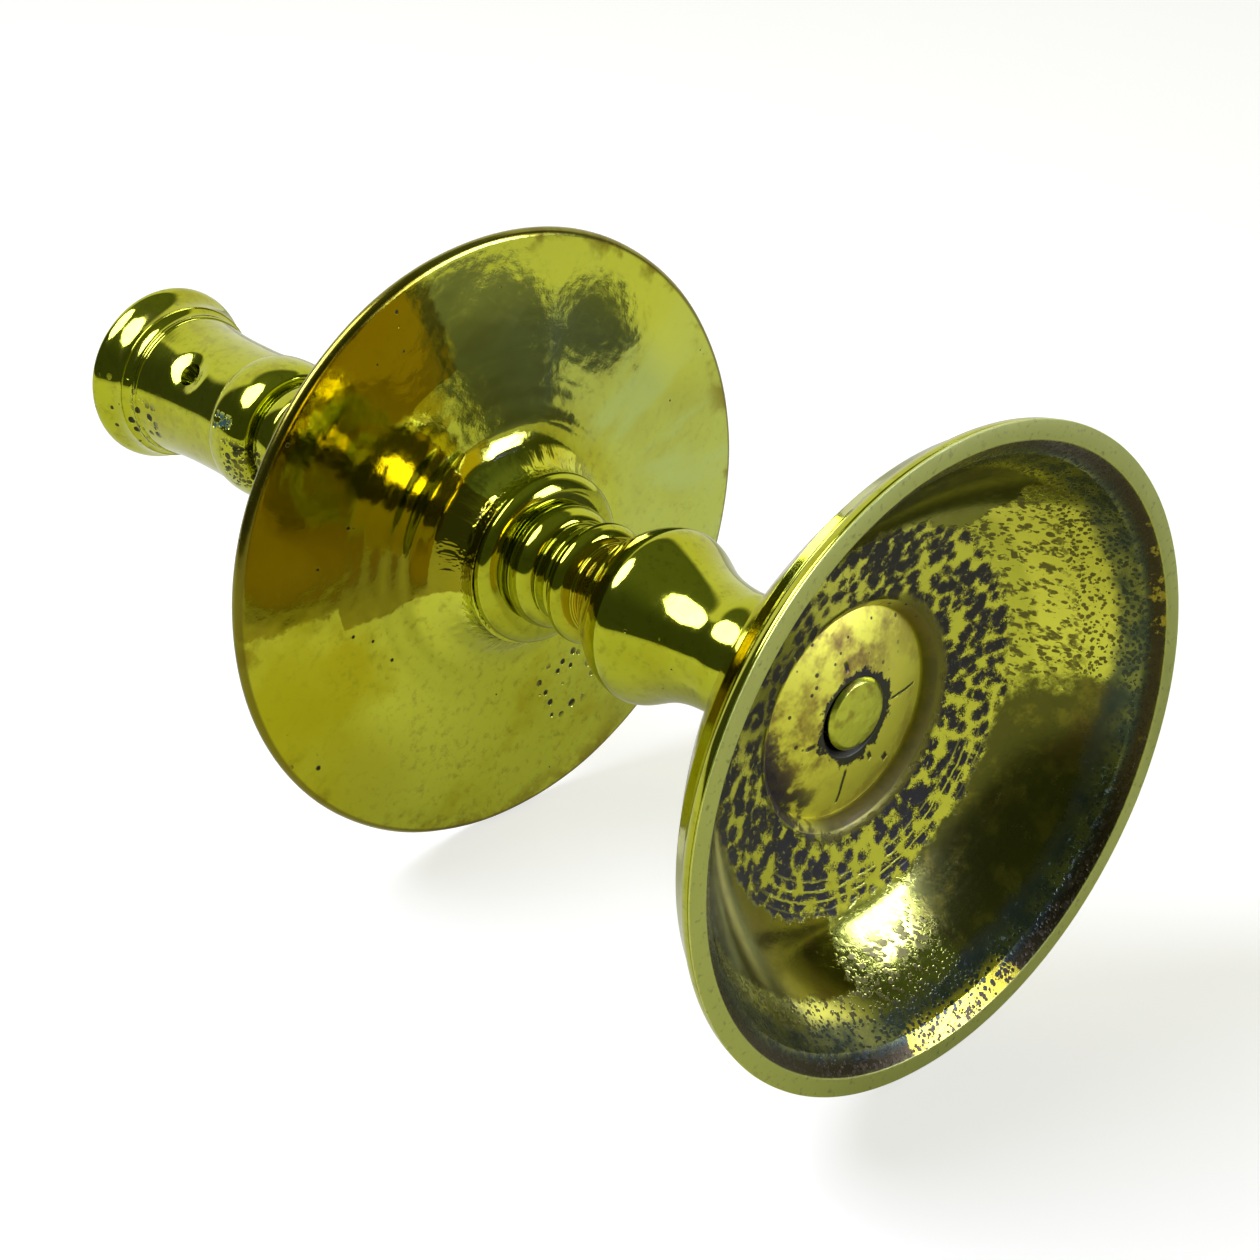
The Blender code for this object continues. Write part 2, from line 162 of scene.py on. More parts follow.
class Field:
    """A number, colour or vector that varies over a shape. Arithmetic on it adds Math nodes."""

    def __init__(self, tree, socket=None):
        self.tree = tree
        self.socket = socket

    def add(self, kind, settings=None, sockets=None, out=0):
        """Any other node: its settings first, then the values or links of its sockets."""
        node = self.tree.nodes.new(kind)
        for name, value in (settings or {}).items():
            setattr(node, name, value)
        for key, value in (sockets or {}).items():
            if isinstance(value, Field):
                self.tree.links.new(value.socket, node.inputs[key])
            elif node.inputs[key].type == "RGBA":
                node.inputs[key].default_value = (*value, 1.0)
            else:
                node.inputs[key].default_value = value
        return Field(self.tree, node.outputs[out])

    def maths(self, operation, *values):
        return self.add("ShaderNodeMath", {"operation": operation}, dict(enumerate(values)))

    def __add__(self, other):
        return self.maths("ADD", self, other)

    def __radd__(self, other):
        return self.maths("ADD", other, self)

    def __sub__(self, other):
        return self.maths("SUBTRACT", self, other)

    def __rsub__(self, other):
        return self.maths("SUBTRACT", other, self)

    def __mul__(self, other):
        return self.maths("MULTIPLY", self, other)

    def __rmul__(self, other):
        return self.maths("MULTIPLY", other, self)

    def __truediv__(self, other):
        return self.maths("DIVIDE", self, other)

    def __pow__(self, other):
        return self.maths("POWER", self, other)

    def __lt__(self, other):
        return self.maths("LESS_THAN", self, other)

    def either(self, other):
        """The larger of two masks."""
        return self.maths("MAXIMUM", self, other)

    def step(self, low, high):
        """Smooth step from 0 to 1 between two values, or down where low is above high."""
        return self.add("ShaderNodeMapRange", {"interpolation_type": "SMOOTHSTEP"},
                        {"Value": self, "From Min": low, "From Max": high})

    def between(self, low, high, soft):
        """1 between two values, with an edge as wide as soft on either side of each."""
        return self.step(low - soft, low + soft) * self.step(high + soft, high - soft)

    def tint(self, below, above):
        """A colour: below where this number is 0, above where it is 1."""
        return self.add("ShaderNodeMix", {"data_type": "RGBA"}, {0: self, 6: below, 7: above}, 2)

    def axes(self):
        """The three parts of a vector or colour."""
        node = self.add("ShaderNodeSeparateXYZ", None, {"Vector": self}).socket.node
        return [Field(self.tree, socket) for socket in node.outputs]

    def vector(self, *parts):
        return self.add("ShaderNodeCombineXYZ", None, dict(enumerate(parts)))

    def dot(self, direction):
        return self.add("ShaderNodeVectorMath", {"operation": "DOT_PRODUCT"},
                        {0: self, 1: direction}, "Value")

    def noise(self, scale, detail=2.0, vector=None, rough=0.5):
        sockets = {"Scale": scale, "Detail": detail, "Roughness": rough}
        if vector is not None:
            sockets["Vector"] = vector
        return self.add("ShaderNodeTexNoise", None, sockets)


WELD = 0.002 * MM            # closes the seam and the poles
WAVE_FADE = 6.0 * MM         # the waves grow over this distance from where they start
SKIN_FADE = 1.5 * MM         # and so does the rough skin
SKIN_FACES_DOWN = -0.2       # it is only on faces that look down more than this


def lathe_tree():
    """Turns the section in the object's mesh, with slow waves as of hand finishing."""
    tree = bpy.data.node_groups.new("lathe", "GeometryNodeTree")
    face = tree.interface
    face.new_socket("Section", in_out="INPUT", socket_type="NodeSocketGeometry")
    for name in ("Facets", "Ring"):
        face.new_socket(name, in_out="INPUT", socket_type="NodeSocketInt")
    for name in ("Wave Depth", "Wave Scale", "Wave Start", "Skin Depth", "Skin Scale",
                 "Skin Inner", "Skin Outer"):
        face.new_socket(name, in_out="INPUT", socket_type="NodeSocketFloat")
    face.new_socket("Brass", in_out="INPUT", socket_type="NodeSocketMaterial")
    face.new_socket("Turned", in_out="OUTPUT", socket_type="NodeSocketGeometry")

    work = Field(tree)
    given = {name: Field(tree, socket)
             for name, socket in tree.nodes.new("NodeGroupInput").outputs.items()}
    count = work.add("GeometryNodeAttributeDomainSize", None, {"Geometry": given["Section"]},
                     "Point Count")
    columns = given["Facets"] + 1.0
    grid = work.add("GeometryNodeMeshGrid", None,
                    {"Vertices X": count + given["Ring"], "Vertices Y": columns})
    index = work.add("GeometryNodeInputIndex")
    row = work.maths("FLOOR", (index + 0.5) / columns)
    place = work.add("GeometryNodeInputPosition")
    drawn = work.add("GeometryNodeSampleIndex", {"data_type": "FLOAT_VECTOR"},
                     {"Geometry": given["Section"], "Value": place,
                      "Index": work.maths("FLOORED_MODULO", row, count)})
    angle = (index - row * columns) * math.tau / given["Facets"]
    turned_place = work.add("ShaderNodeVectorRotate", {"rotation_type": "Z_AXIS"},
                            {"Vector": drawn, "Angle": angle})
    shell = work.add("GeometryNodeSetPosition", None, {"Geometry": grid, "Position": turned_place})
    shell = work.add("GeometryNodeMergeByDistance", None, {"Geometry": shell, "Distance": WELD})

    normal = work.add("GeometryNodeInputNormal")
    x, y, z = place.axes()
    radius = (x * x + y * y) ** 0.5
    wave = (work.noise(given["Wave Scale"], 1.0) - 0.5) * given["Wave Depth"]
    wave *= radius.step(given["Wave Start"], given["Wave Start"] + WAVE_FADE)
    mask = radius.step(given["Skin Inner"], given["Skin Inner"] + SKIN_FADE)
    mask *= radius.step(given["Skin Outer"], given["Skin Outer"] - SKIN_FADE)
    mask *= normal.axes()[2] < SKIN_FACES_DOWN
    skin = (work.noise(given["Skin Scale"], 2.5) - 0.5) * given["Skin Depth"] * mask
    offset = work.add("ShaderNodeVectorMath", {"operation": "SCALE"},
                      {0: normal, "Scale": wave + skin})
    shell = work.add("GeometryNodeSetPosition", None, {"Geometry": shell, "Offset": offset})
    shell = work.add("GeometryNodeRealizeInstances", None, {"Geometry": shell})
    shell = work.add("GeometryNodeSetMaterial", None,
                     {"Geometry": shell, "Material": given["Brass"]})
    tree.links.new(shell.socket, tree.nodes.new("NodeGroupOutput").inputs[0])
    return tree


LATHE = lathe_tree()


def turned(name, outline, material, closed=False, **settings):
    """A finished piece, turned from an outline, as a plain mesh with its normals outwards."""
    mesh = bpy.data.meshes.new(name)
    points = [(p[0] * MM, 0.0, p[1] * MM) for p in outline.worn(CORNER_WEAR, closed)]
    mesh.from_pydata(points, [], [])
    rough = added(name + "_section", mesh)
    lathe = rough.modifiers.new("lathe", "NODES")
    lathe.node_group = LATHE
    values = {"Facets": FACETS, "Ring": int(closed), "Brass": material, "Wave Depth": 0.0,
              "Wave Scale": 60.0, "Wave Start": 0.0, "Skin Depth": 0.0, "Skin Scale": 200.0,
              "Skin Inner": 0.0, "Skin Outer": 0.0, **settings}
    for item in LATHE.interface.items_tree:
        if item.in_out == "INPUT" and item.name in values:
            lathe[item.identifier] = values[item.name]
    piece = plain(name, rough)
    shape = bmesh.new()
    shape.from_mesh(piece.data)
    bmesh.ops.recalc_face_normals(shape, faces=shape.faces)
    shape.to_mesh(piece.data)
    shape.free()
    piece.data.materials.clear()
    piece.data.materials.append(material)
    piece.data.polygons.foreach_set("material_index", [0] * len(piece.data.polygons))
    piece.data.shade_smooth()
    piece.data.set_sharp_from_angle(angle=CREASE)
    return piece


def plain(name, rough):
    """The object as its modifiers leave it, in place of the one that carried them."""
    graph = bpy.context.evaluated_depsgraph_get()
    made = bpy.data.meshes.new_from_object(rough.evaluated_get(graph))
    bpy.data.objects.remove(rough)
    return added(name, made)


# Brass
# All four castings are the same old leaded brass, a greenish yellow under a thin clear film,
# with soft stains, fine wiping scratches and small casting pits.
LIME = (0.47, 0.495, 0.022)
OLIVE = (0.36, 0.34, 0.008)
HAZE = (0.58, 0.69, 0.185)    # pale bloom left by wiping
DULL = (0.21, 0.21, 0.012)
# warm gold that stands in for brass mirrored in brass: a painted reflection colour
MIRRORED_GOLD = (0.58, 0.42, 0.012)
PIT_BLACK = (0.012, 0.014, 0.012)
POLISH = 0.07                      # roughness of the brightest metal
FILM_ROUGHNESS = 0.06
AXIS_GUARD = 0.001                 # keeps a division off zero on the axis


class Brass:
    """A brass finish that is built up in layers, on places measured from the stem's axis."""

    def __init__(self, name, base=LIME, stain=OLIVE, stain_scale=40.0, stain_share=0.5):
        self.material = bpy.data.materials.new(name)
        self.material.use_nodes = True
        tree = self.material.node_tree
        self.shader = tree.nodes["Principled BSDF"]
        self.work = Field(tree)
        self.place = self.work.add("ShaderNodeTexCoord", out="Object")
        self.x, self.y, self.z = (axis / MM for axis in self.place.axes())
        self.radius = (self.x * self.x + self.y * self.y) ** 0.5
        cloud = self.work.noise(stain_scale, 5.0, self.place, 0.62)
        self.colour = (cloud.step(0.47, 0.66) * stain_share).tint(base, stain)
        self.film = 0.03 + cloud.step(0.55, 0.35) * 0.17
        fine = self.work.noise(520.0, 5.0, self.place, 0.7)
        self.colour = (fine.step(0.50, 0.72) * 0.45).tint(self.colour, DULL)
        wipe = self.work.noise(900.0, 3.0, self.round_axis(6.0 * MM, 1.0 * MM))
        self.rough = POLISH + wipe.step(0.5, 0.8) * 0.05 + fine.step(0.5, 0.7) * 0.05
        self.relief = (wipe - 0.5) * 0.0015 + (fine - 0.5) * 0.006
        self.metal = None

    def round_axis(self, across, along):
        """Places for a pattern that is drawn out along the turning, with no seam behind."""
        size = self.radius + AXIS_GUARD
        return self.work.vector(self.x / size * across, self.y / size * across,
                                (self.radius - self.z) * along)

    def facing(self, angle, half, soft):
        """1 within a half-angle round the axis from a bearing, both in degrees."""
        bearing = math.radians(angle)
        ahead = self.x * math.cos(bearing) + self.y * math.sin(bearing)
        inner, outer = math.radians(max(half - soft, 0)), math.radians(half + soft)
        return (ahead / (self.radius + AXIS_GUARD)).step(math.cos(outer), math.cos(inner))

    def spots(self, spacing, size, share, vector=None):
        """Scattered spots; spacing and size in mm, share is how many of the places have one."""
        sockets = {"Vector": vector or self.place, "Scale": 1.0 / (spacing * MM)}
        near = self.work.add("ShaderNodeTexVoronoi", None, sockets)
        chance = Field(near.tree, near.socket.node.outputs["Color"]).axes()
        reach = size / spacing * (0.45 + 0.55 * chance[1])
        return (near / reach).step(1.0, 0.75) * (chance[0] < share)

    def mark(self, mask, colour, share=1.0):
        """Colours what a mask shows."""
        self.colour = (mask * share).tint(self.colour, colour)

    def pit(self, mask, depth, colour=PIT_BLACK):
        """Holes of a depth in mm, dull and dark inside."""
        self.relief -= mask * depth
        self.rough += mask * 0.35
        self.film *= 1.0 - mask
        self.mark(mask, colour, 0.95)

    def finish(self):
        """Joins the layers to the shader; relief is in mm."""
        work, shader = self.work, self.shader
        bump = work.add("ShaderNodeBump", None,
                        {"Strength": 1.0, "Distance": 1.0 * MM, "Height": self.relief})
        layers = {"Base Color": self.colour, "Roughness": self.rough, "Normal": bump,
                  "Coat Weight": self.film}
        shader.inputs["Metallic"].default_value = 1.0
        if self.metal:
            layers["Metallic"] = self.metal
        for name, layer in layers.items():
            work.tree.links.new(layer.socket, shader.inputs[name])
        shader.inputs["Coat Roughness"].default_value = FILM_ROUGHNESS
        return self.material


# Foot
# A hollow casting of leaded brass with thick walls, turned bright outside and on the ring that
# it stands on. Inside it keeps its cast skin round a turned recess, where the stem is riveted.
FOOT_RADIUS = 56.0
FOOT_HEIGHT = 28.3
FOOT_FACETS = 384
RING_WIDTH = 3.2
EDGE_HEIGHT = 0.45
EDGE_GROOVE = 0.3
COVE_RUN = 1.6
COVE_RISE = 2.9
SHOULDER_RUN = 1.9
SHOULDER_RISE = 3.2
SEAT_RADIUS = 18.0
CEILING_RADIUS = 31.0
CEILING_HEIGHT = 18.5
LIP_TOP = 2.5
LIP_RUN = 3.0
RECESS_RADIUS = 20.0
RECESS_TAPER = 1.7
RECESS_MOUTH = 20.7
RECESS_DEPTH = 2.8
BOSS_RISE = 2.3
TENON_HOLE = 6.0
COUNTERSINK = 0.9

half = Outline(FOOT_RADIUS - RING_WIDTH, 0.0)
half.go(FOOT_RADIUS).go(FOOT_RADIUS, EDGE_HEIGHT)
half.go(FOOT_RADIUS - EDGE_GROOVE, 0.1).go(FOOT_RADIUS - EDGE_GROOVE, 0.15)
half.go(FOOT_RADIUS - EDGE_GROOVE / 2)
half.curve(half.radius - COVE_RUN, COVE_RISE,
           leave=(0.0, COVE_RISE / 2), arrive=(-COVE_RUN / 2, COVE_RISE / 4))
half.curve(half.radius - SHOULDER_RUN, SHOULDER_RISE,
           leave=(-SHOULDER_RUN / 3, SHOULDER_RISE / 3),
           arrive=(-SHOULDER_RUN / 3, SHOULDER_RISE / 3))
half.curve(SEAT_RADIUS, FOOT_HEIGHT - half.height, leave=(-14.0, 13.2), arrive=(-12.0, 1.1))
HOLE_BOTTOM = RECESS_MOUTH + RECESS_DEPTH - BOSS_RISE + COUNTERSINK
half.go(TENON_HOLE).go(TENON_HOLE, HOLE_BOTTOM - FOOT_HEIGHT)
half.go(TENON_HOLE + COUNTERSINK, -COUNTERSINK)
half.curve(RECESS_RADIUS - RECESS_TAPER, BOSS_RISE, leave=(3.0, 0.2), arrive=(2.5, 1.0))
half.curve(RECESS_RADIUS + RECESS_TAPER, -RECESS_DEPTH, leave=(0.3, -1.6), arrive=(1.6, -0.2))
half.go(CEILING_RADIUS, CEILING_HEIGHT - RECESS_MOUTH)
half.curve(FOOT_RADIUS - RING_WIDTH - LIP_RUN, LIP_TOP - half.height,
           leave=(9.0, -2.0), arrive=(3.2, -6.0))

PATINA = (0.022, 0.020, 0.022)      # blue-black in the cast skin's hollows
UMBER = (0.16, 0.14, 0.035)         # brown halo round them
VEIN = (0.68, 0.69, 0.060)          # bare metal rubbed bright between them
DARK_FILM_AND_REFLECTION = (0.105, 0.105, 0.008)  # smooth olive film over the bowl, deepened as a painted dark reflection
UPPER_FILM_AND_REFLECTION = (0.27, 0.28, 0.024)
LOWER_FILM_AND_REFLECTION = (0.24, 0.22, 0.006)
FILM_THIN = (0.33, 0.36, 0.04)
FILM_WORN = (0.30, 0.27, 0.020)
FILM_BROWN = (0.13, 0.08, 0.010)
GRAIN_UPPER = (0.94, 0.93, 0.09)    # bright metal where the film has gone
GRAIN_LOWER = (0.92, 0.90, 0.16)
SPECK = (0.085, 0.065, 0.012)
SLATE = (0.055, 0.080, 0.045)       # dull film behind the rim
SLATE_DARK = (0.030, 0.042, 0.020)
PAINTED_GLINT = (0.45, 0.60, 0.58)
SEPIA = (0.055, 0.040, 0.006)       # dark brown against the rim
RIM_RUBBED = (0.42, 0.34, 0.02)
RIM_LAMP_HIGHLIGHT = (0.74, 0.64, 0.030)
BROWN = (0.22, 0.13, 0.018)
RECESS_FACE = (0.98, 0.94, 0.060)
RECESS_WALL_SHADE = (0.16, 0.145, 0.012)
SMUDGE = (0.42, 0.31, 0.020)
SOOT = (0.035, 0.030, 0.025)
DOT = (0.03, 0.022, 0.012)
FOOT_LIME = (0.47, 0.49, 0.03)
MATT = (0.85, 0.90, 0.120)          # the ring that it stands on
SCUFF = (0.27, 0.28, 0.02)

# zones inside the foot: bearing, half angle and width of the edge, in degrees
FILM_AND_REFLECTION_UPPER_LEFT = (318, 33, 9)
FILM_AND_REFLECTION_LOWER_RIGHT = (85, 31, 12)
FILM_AND_REFLECTION_LOWER_LEFT = (190, 42, 8)
FILM_THIN_PART = (122, 26, 8)
GRAIN_RIGHT = (8, 36, 10)
GRAIN_LEFT = (172, 24, 8)
LAMP_SIDE = (136, 14, 8)
CROWDED_LEFT = (205, 48, 20)
CROWDED_FAR = (255, 80, 30)
CROWDED_TOP = (5, 45, 25)
TOOL_ARCS = (125, 52, 12)
RECESS_SHADE = (70, 88, 16)
SMUDGED = (262, 95, 35)
CHISEL_MARKS = (                         # bearing in degrees, from and to radius, half width in mm
    (46, 9.2, 16.0, 0.22), (141, 9.6, 16.0, 0.26), (213, 8.6, 10.4, 0.30), (305, 9.0, 10.6, 0.35),
    (96, 13.8, 15.6, 0.55), (108, 9.2, 11.0, 0.40))

# radii inside the foot, in mm
RING_EDGE = 52.6
RECESS_EDGE = 19.9
CEILING_EDGE = 32.8
EDGE_FADE = 1.2
RIVET_EDGE = 5.6
ARC_PITCH = 1.7
SKIN_FACE = 25.5                         # half-way up the wall at the recess
SKIN_FACE_FALL = 0.0204                  # and how it falls outwards, per mm squared


def foot_finish():
    """Turned outside, matt ring, cast skin with patina in its hollows, turned recess."""
    skin = Brass("foot brass", base=FOOT_LIME)
    work, radius = skin.work, skin.radius
    # the surface under the foot lies below the middle of the wall, which falls away outwards
    beyond = (radius - 20.0).either(0.0)
    inside = (skin.z + beyond * beyond * SKIN_FACE_FALL).step(SKIN_FACE, SKIN_FACE - 0.6)
    # painted reflection colour: the foot's outside above its edge is tinted gold, as brass mirrored
    # in brass
    skin.mark((1.0 - inside) * skin.z.step(6.6, 8.2), MIRRORED_GOLD)
    ring = radius.step(RING_EDGE, RING_EDGE + 0.3) * skin.z.step(0.3, 0.1)
    inside *= 1.0 - ring
    recess = radius.step(RECESS_EDGE + 0.3, RECESS_EDGE) * inside
    wide = work.noise(75.0, 2.0, skin.place) - 0.5
    ragged = work.noise(330.0, 4.0, skin.place, 0.65) - 0.5
    grain = work.noise(1100.0, 3.0, skin.place, 0.6) - 0.5
    skin.mark(inside, VEIN)

    # clustered blotches on the ceiling and over part of the recess's edge, bright metal between
    dirty_side = skin.facing(*CROWDED_LEFT)
    far_side = skin.facing(*CROWDED_FAR)
    inner_edge = radius + ragged * 6.0 + dirty_side * 2.0 + far_side * 1.8
    inner_edge = inner_edge.step(20.2, 20.2 + EDGE_FADE)
    ceiling = (radius + ragged * 5.0 + wide * 5.0).step(CEILING_EDGE + EDGE_FADE, CEILING_EDGE)
    ceiling = inner_edge * ceiling * inside
    swirl = work.add("ShaderNodeTexNoise", None, {"Scale": 470.0, "Detail": 3.0}, "Color")
    swirled = work.add("ShaderNodeVectorMath", {"operation": "MULTIPLY_ADD"},
                       {0: swirl, 1: (2.2 * MM, 2.2 * MM, 2.2 * MM), 2: skin.place})
    middle = work.add("ShaderNodeTexVoronoi", None, {"Vector": swirled, "Scale": 430.0})
    crowded = dirty_side * 0.05 + skin.facing(*CROWDED_TOP) * 0.08
    blot = middle + ragged * 0.75 + grain * 0.35 - crowded - wide * 0.5
    arcs = work.maths("SINE", (radius + ragged * 1.2) * (math.tau / ARC_PITCH)).step(0.35, 0.9)
    arcs = arcs * radius.between(27.6, 32.6, 0.4) * skin.facing(*TOOL_ARCS)
    clear_of = ceiling * (1.0 - arcs * 0.9)
    skin.mark(blot.step(0.68, 0.50) * clear_of, UMBER, 0.7)
    blots = blot.step(0.56, 0.43) * clear_of * (grain + ragged * 0.4).step(0.16, 0.09)
    skin.mark(blots, PATINA, 0.95)

    # the bowl: smooth dark olive where the film is whole, deepened in three zones by a painted
    # dark reflection, and elsewhere bright metal with pits, drawn out on the inner side and round
    # near the edge
    bowl = (radius + ragged * 5.0 + wide * 5.0).step(CEILING_EDGE, CEILING_EDGE + EDGE_FADE) * inside
    drift = ragged * 1.1 + wide * 1.1 + grain * 0.2

    def film(zone, soft, wander, gone, ends):
        """A zone with a ragged border that thins out towards the rim."""
        border = (skin.facing(*zone) + drift).step(0.5 - soft, 0.5 + soft)
        return border * (radius + ragged * wander).step(gone, ends)

    upper_left = film(FILM_AND_REFLECTION_UPPER_LEFT, 0.06, 3.0, 46.5, 45.0)
    lower_right = film(FILM_AND_REFLECTION_LOWER_RIGHT, 0.20, 3.0, 50.0, 47.0)
    lower_left = film(FILM_AND_REFLECTION_LOWER_LEFT, 0.10, 2.5, 44.8, 43.6)
    film_and_reflection = upper_left.either(lower_right).either(lower_left) * bowl
    half_whole = (skin.facing(*FILM_THIN_PART) + drift).step(0.3, 0.7) * bowl
    skin.mark(half_whole, FILM_THIN, 0.8)
    skin.mark(radius.step(37.0, 39.0) * bowl * skin.facing(*GRAIN_RIGHT), GRAIN_UPPER, 0.9)
    skin.mark(radius.step(43.0, 45.0) * bowl * skin.facing(*GRAIN_LEFT), GRAIN_LOWER, 0.9)
    # painted dark reflection over the film in its three zones
    skin.mark(film_and_reflection, DARK_FILM_AND_REFLECTION, 0.95)
    skin.mark(upper_left * bowl, UPPER_FILM_AND_REFLECTION, 0.9)
    skin.mark(lower_left * bowl, LOWER_FILM_AND_REFLECTION, 0.85)
    mottle = (work.noise(190.0, 5.0, skin.place, 0.7) + wide * 0.5).step(0.50, 0.66)
    skin.mark(lower_right * bowl * mottle, FILM_WORN, 0.6)
    skin.mark(film_and_reflection * wide.step(0.02, 0.22), FILM_BROWN, 0.6)
    along = skin.x * 0.28 + skin.y * 0.96
    across = skin.x * 0.96 - skin.y * 0.28
    slanted = work.vector((along * 0.45 + ragged * 0.5) * MM, (across + ragged * 0.7) * MM,
                          skin.z * 0.5 * MM)
    dashes = skin.spots(0.75, 0.66, 0.70, slanted).either(skin.spots(1.5, 1.1, 0.40, slanted))
    dashes *= (work.noise(900.0, 3.0, slanted, 0.6) + wide * 0.3).step(0.42, 0.54)
    jittered = work.vector((skin.x + ragged * 0.6) * MM, (skin.y + grain * 0.5) * MM, skin.z * MM)
    crumbs = skin.spots(0.72, 0.60, 0.48, jittered)
    crumbs = crumbs.either((grain + ragged * 0.5).step(0.13, 0.18))
    specks = dashes * radius.step(45.5, 42.5)
    specks = specks.either(crumbs * (radius + ragged * 3.0).step(42.0, 44.0))
    lamp_side = skin.facing(*LAMP_SIDE) * radius.step(40.5, 37.5)
    specks = specks * bowl * (1.0 - film_and_reflection * 0.93) * (1.0 - lamp_side * 0.85)
    skin.mark(specks, SPECK, 0.85)

    # a slate film behind the rim with painted glints, then a brown wall that is rubbed in places,
    # with a painted lamp highlight in bright patches on one side
    haze = work.noise(210.0, 4.0, skin.place, 0.6).step(0.35, 0.62)
    band = (radius + wide * 3.0 + ragged * 2.5).step(46.2, 48.2) * radius.step(53.0, 52.0) * inside
    skin.mark(band, SLATE, 0.95 - 0.25 * haze)
    skin.mark(band * radius.step(49.6, 50.6), SLATE_DARK, 0.8)
    # painted glints on the slate band
    painted_glints = (grain + ragged * 0.5).step(0.16, 0.24) * skin.facing(92, 24, 10)
    painted_glints *= radius.between(47.5, 50.8, 0.8)
    skin.mark(painted_glints * inside, PAINTED_GLINT, 0.8)
    wall = (radius + ragged * 1.5).step(50.2, 51.4) * inside
    skin.mark(wall, SEPIA, 0.9)
    rubbed = wall * (ragged + wide).step(0.05, 0.12) * skin.facing(35, 22, 8)
    skin.mark(rubbed, RIM_RUBBED, 0.9)
    # painted lamp highlight: bright patches on the wall by the rim
    rim_lamp_highlight = (skin.facing(127, 12, 6) + wide * 1.6 + ragged * 0.8).step(0.42, 0.52) * inside
    rim_lamp_highlight = rim_lamp_highlight * (radius + ragged * 1.5).between(49.2, 54.0, 0.5) * (1.0 - crumbs)
    skin.mark(rim_lamp_highlight, RIM_LAMP_HIGHLIGHT, 0.95)

    # recess, with its brown smudges, painted shade on one side of its wall, the dark ring round the
    # rivet and the chisel marks
    skin.mark(recess, RECESS_FACE)
    # painted shade: a dark band on the recess's wall, on one side only
    recess_wall_shade = radius.step(18.1, 18.5) * (radius + ragged * 2.0).step(22.2, 21.2)
    recess_wall_shade = recess_wall_shade * inside * skin.facing(*RECESS_SHADE)
    skin.mark(recess_wall_shade, RECESS_WALL_SHADE, 0.95)
    smudge = work.noise(110.0, 4.0, skin.place, 0.65)
    toward_wall = radius.step(11.5, 16.5)
    patches = (skin.facing(*SMUDGED) * 0.95).either(toward_wall * 0.5)
    skin.mark(smudge.step(0.40, 0.58) * patches * recess, SMUDGE, 0.9)
    stained = (smudge + ragged * 0.5).step(0.52, 0.66) * skin.facing(262, 90, 30)
    skin.mark(stained * recess, BROWN, 0.75)
    soot = (smudge + ragged * 0.4).step(0.48, 0.56) * toward_wall * skin.facing(195, 34, 16)
    skin.mark(soot * recess, SOOT, 0.85)
    dots = skin.spots(1.6, 0.45, 0.35) * skin.facing(285, 80, 20) * radius.step(8.0, 10.0)
    skin.mark(dots * recess, DOT, 0.9)
    gap = radius + ragged * 7.0 - skin.facing(60, 80, 40) * 0.9
    gap = gap.step(8.0, 7.5) * radius.step(RIVET_EDGE, RIVET_EDGE + 0.2)
    skin.mark(gap * recess, PIT_BLACK, 0.95)
    cuts = None
    for bearing, first, last, half_width in CHISEL_MARKS:
        line = Vector((math.cos(math.radians(bearing)), math.sin(math.radians(bearing)), 0.0))
        beside = work.maths("ABSOLUTE", skin.x * line.y - skin.y * line.x + ragged * 0.5)
        ahead_of = skin.x * line.x + skin.y * line.y
        cut = beside.step(half_width + 0.15, half_width - 0.1) * ahead_of.between(first, last, 0.4)
        cuts = cut if cuts is None else cuts.either(cut)
    cuts *= recess
    skin.mark(cuts, PIT_BLACK, 0.9)
    skin.mark(ring, MATT)
    scuffed = work.noise(700.0, 4.0, skin.place, 0.6).step(0.55, 0.75)
    skin.mark(ring * scuffed, SCUFF, 0.6)

    dull = blots.either(specks).either(band * 0.6).either(wall * 0.6).either(recess_wall_shade)
    shaded = lower_right * bowl
    skin.metal = 1.0 - dull * 0.2 - ring * 0.75 - recess * 0.30 - shaded * 0.2
    skin.film *= 1.0 - inside * 0.8
    skin.rough = skin.rough + inside * 0.04 + ring * 0.35 + dull * 0.25 + recess * 0.35
    skin.rough += shaded * 0.10
    skin.relief = skin.relief - blots * 0.08 - specks * 0.03 - cuts * 0.25
    return skin.finish()


foot = turned("foot_casting", half, foot_finish(), closed=True, Facets=FOOT_FACETS,
              **{"Wave Depth": 0.12 * MM, "Wave Scale": 45.0, "Skin Depth": 0.35 * MM,
                 "Skin Scale": 330.0, "Skin Inner": 20.5 * MM, "Skin Outer": 33.0 * MM})
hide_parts("foot")
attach(foot, "root")


# Lower stem
# One casting: a baluster over a plain neck, then two crisp rings and a flange that carries the
# pan. Its tenon goes down through the foot and is hammered over inside it.
RIVET_FACE = 20.2
RIVET_RADIUS = 6.4
TENON_RADIUS = 5.2
BASE_SEAT = 28.6
BASE_RADIUS = 14.9
NECK_FOOT = 13.0
NECK_RADIUS = 10.95
NECK_SWELL = 11.17            # the neck is a little fuller half-way up
BALUSTER_RADIUS = 15.9
BALUSTER_TOP = 7.9
SMALL_RING = 11.2
WAIST_RADIUS = 9.2
LARGE_RING = 11.6
FLANGE_RADIUS = 16.1
SPIGOT_HOLE = 5.2
SPIGOT_HOLE_DEPTH = 11.0
OUT_OF_TRUE = 0.75 * MM       # the casting stands this much to one side of the foot's centre
OUT_OF_TRUE_BEARING = math.radians(-7)

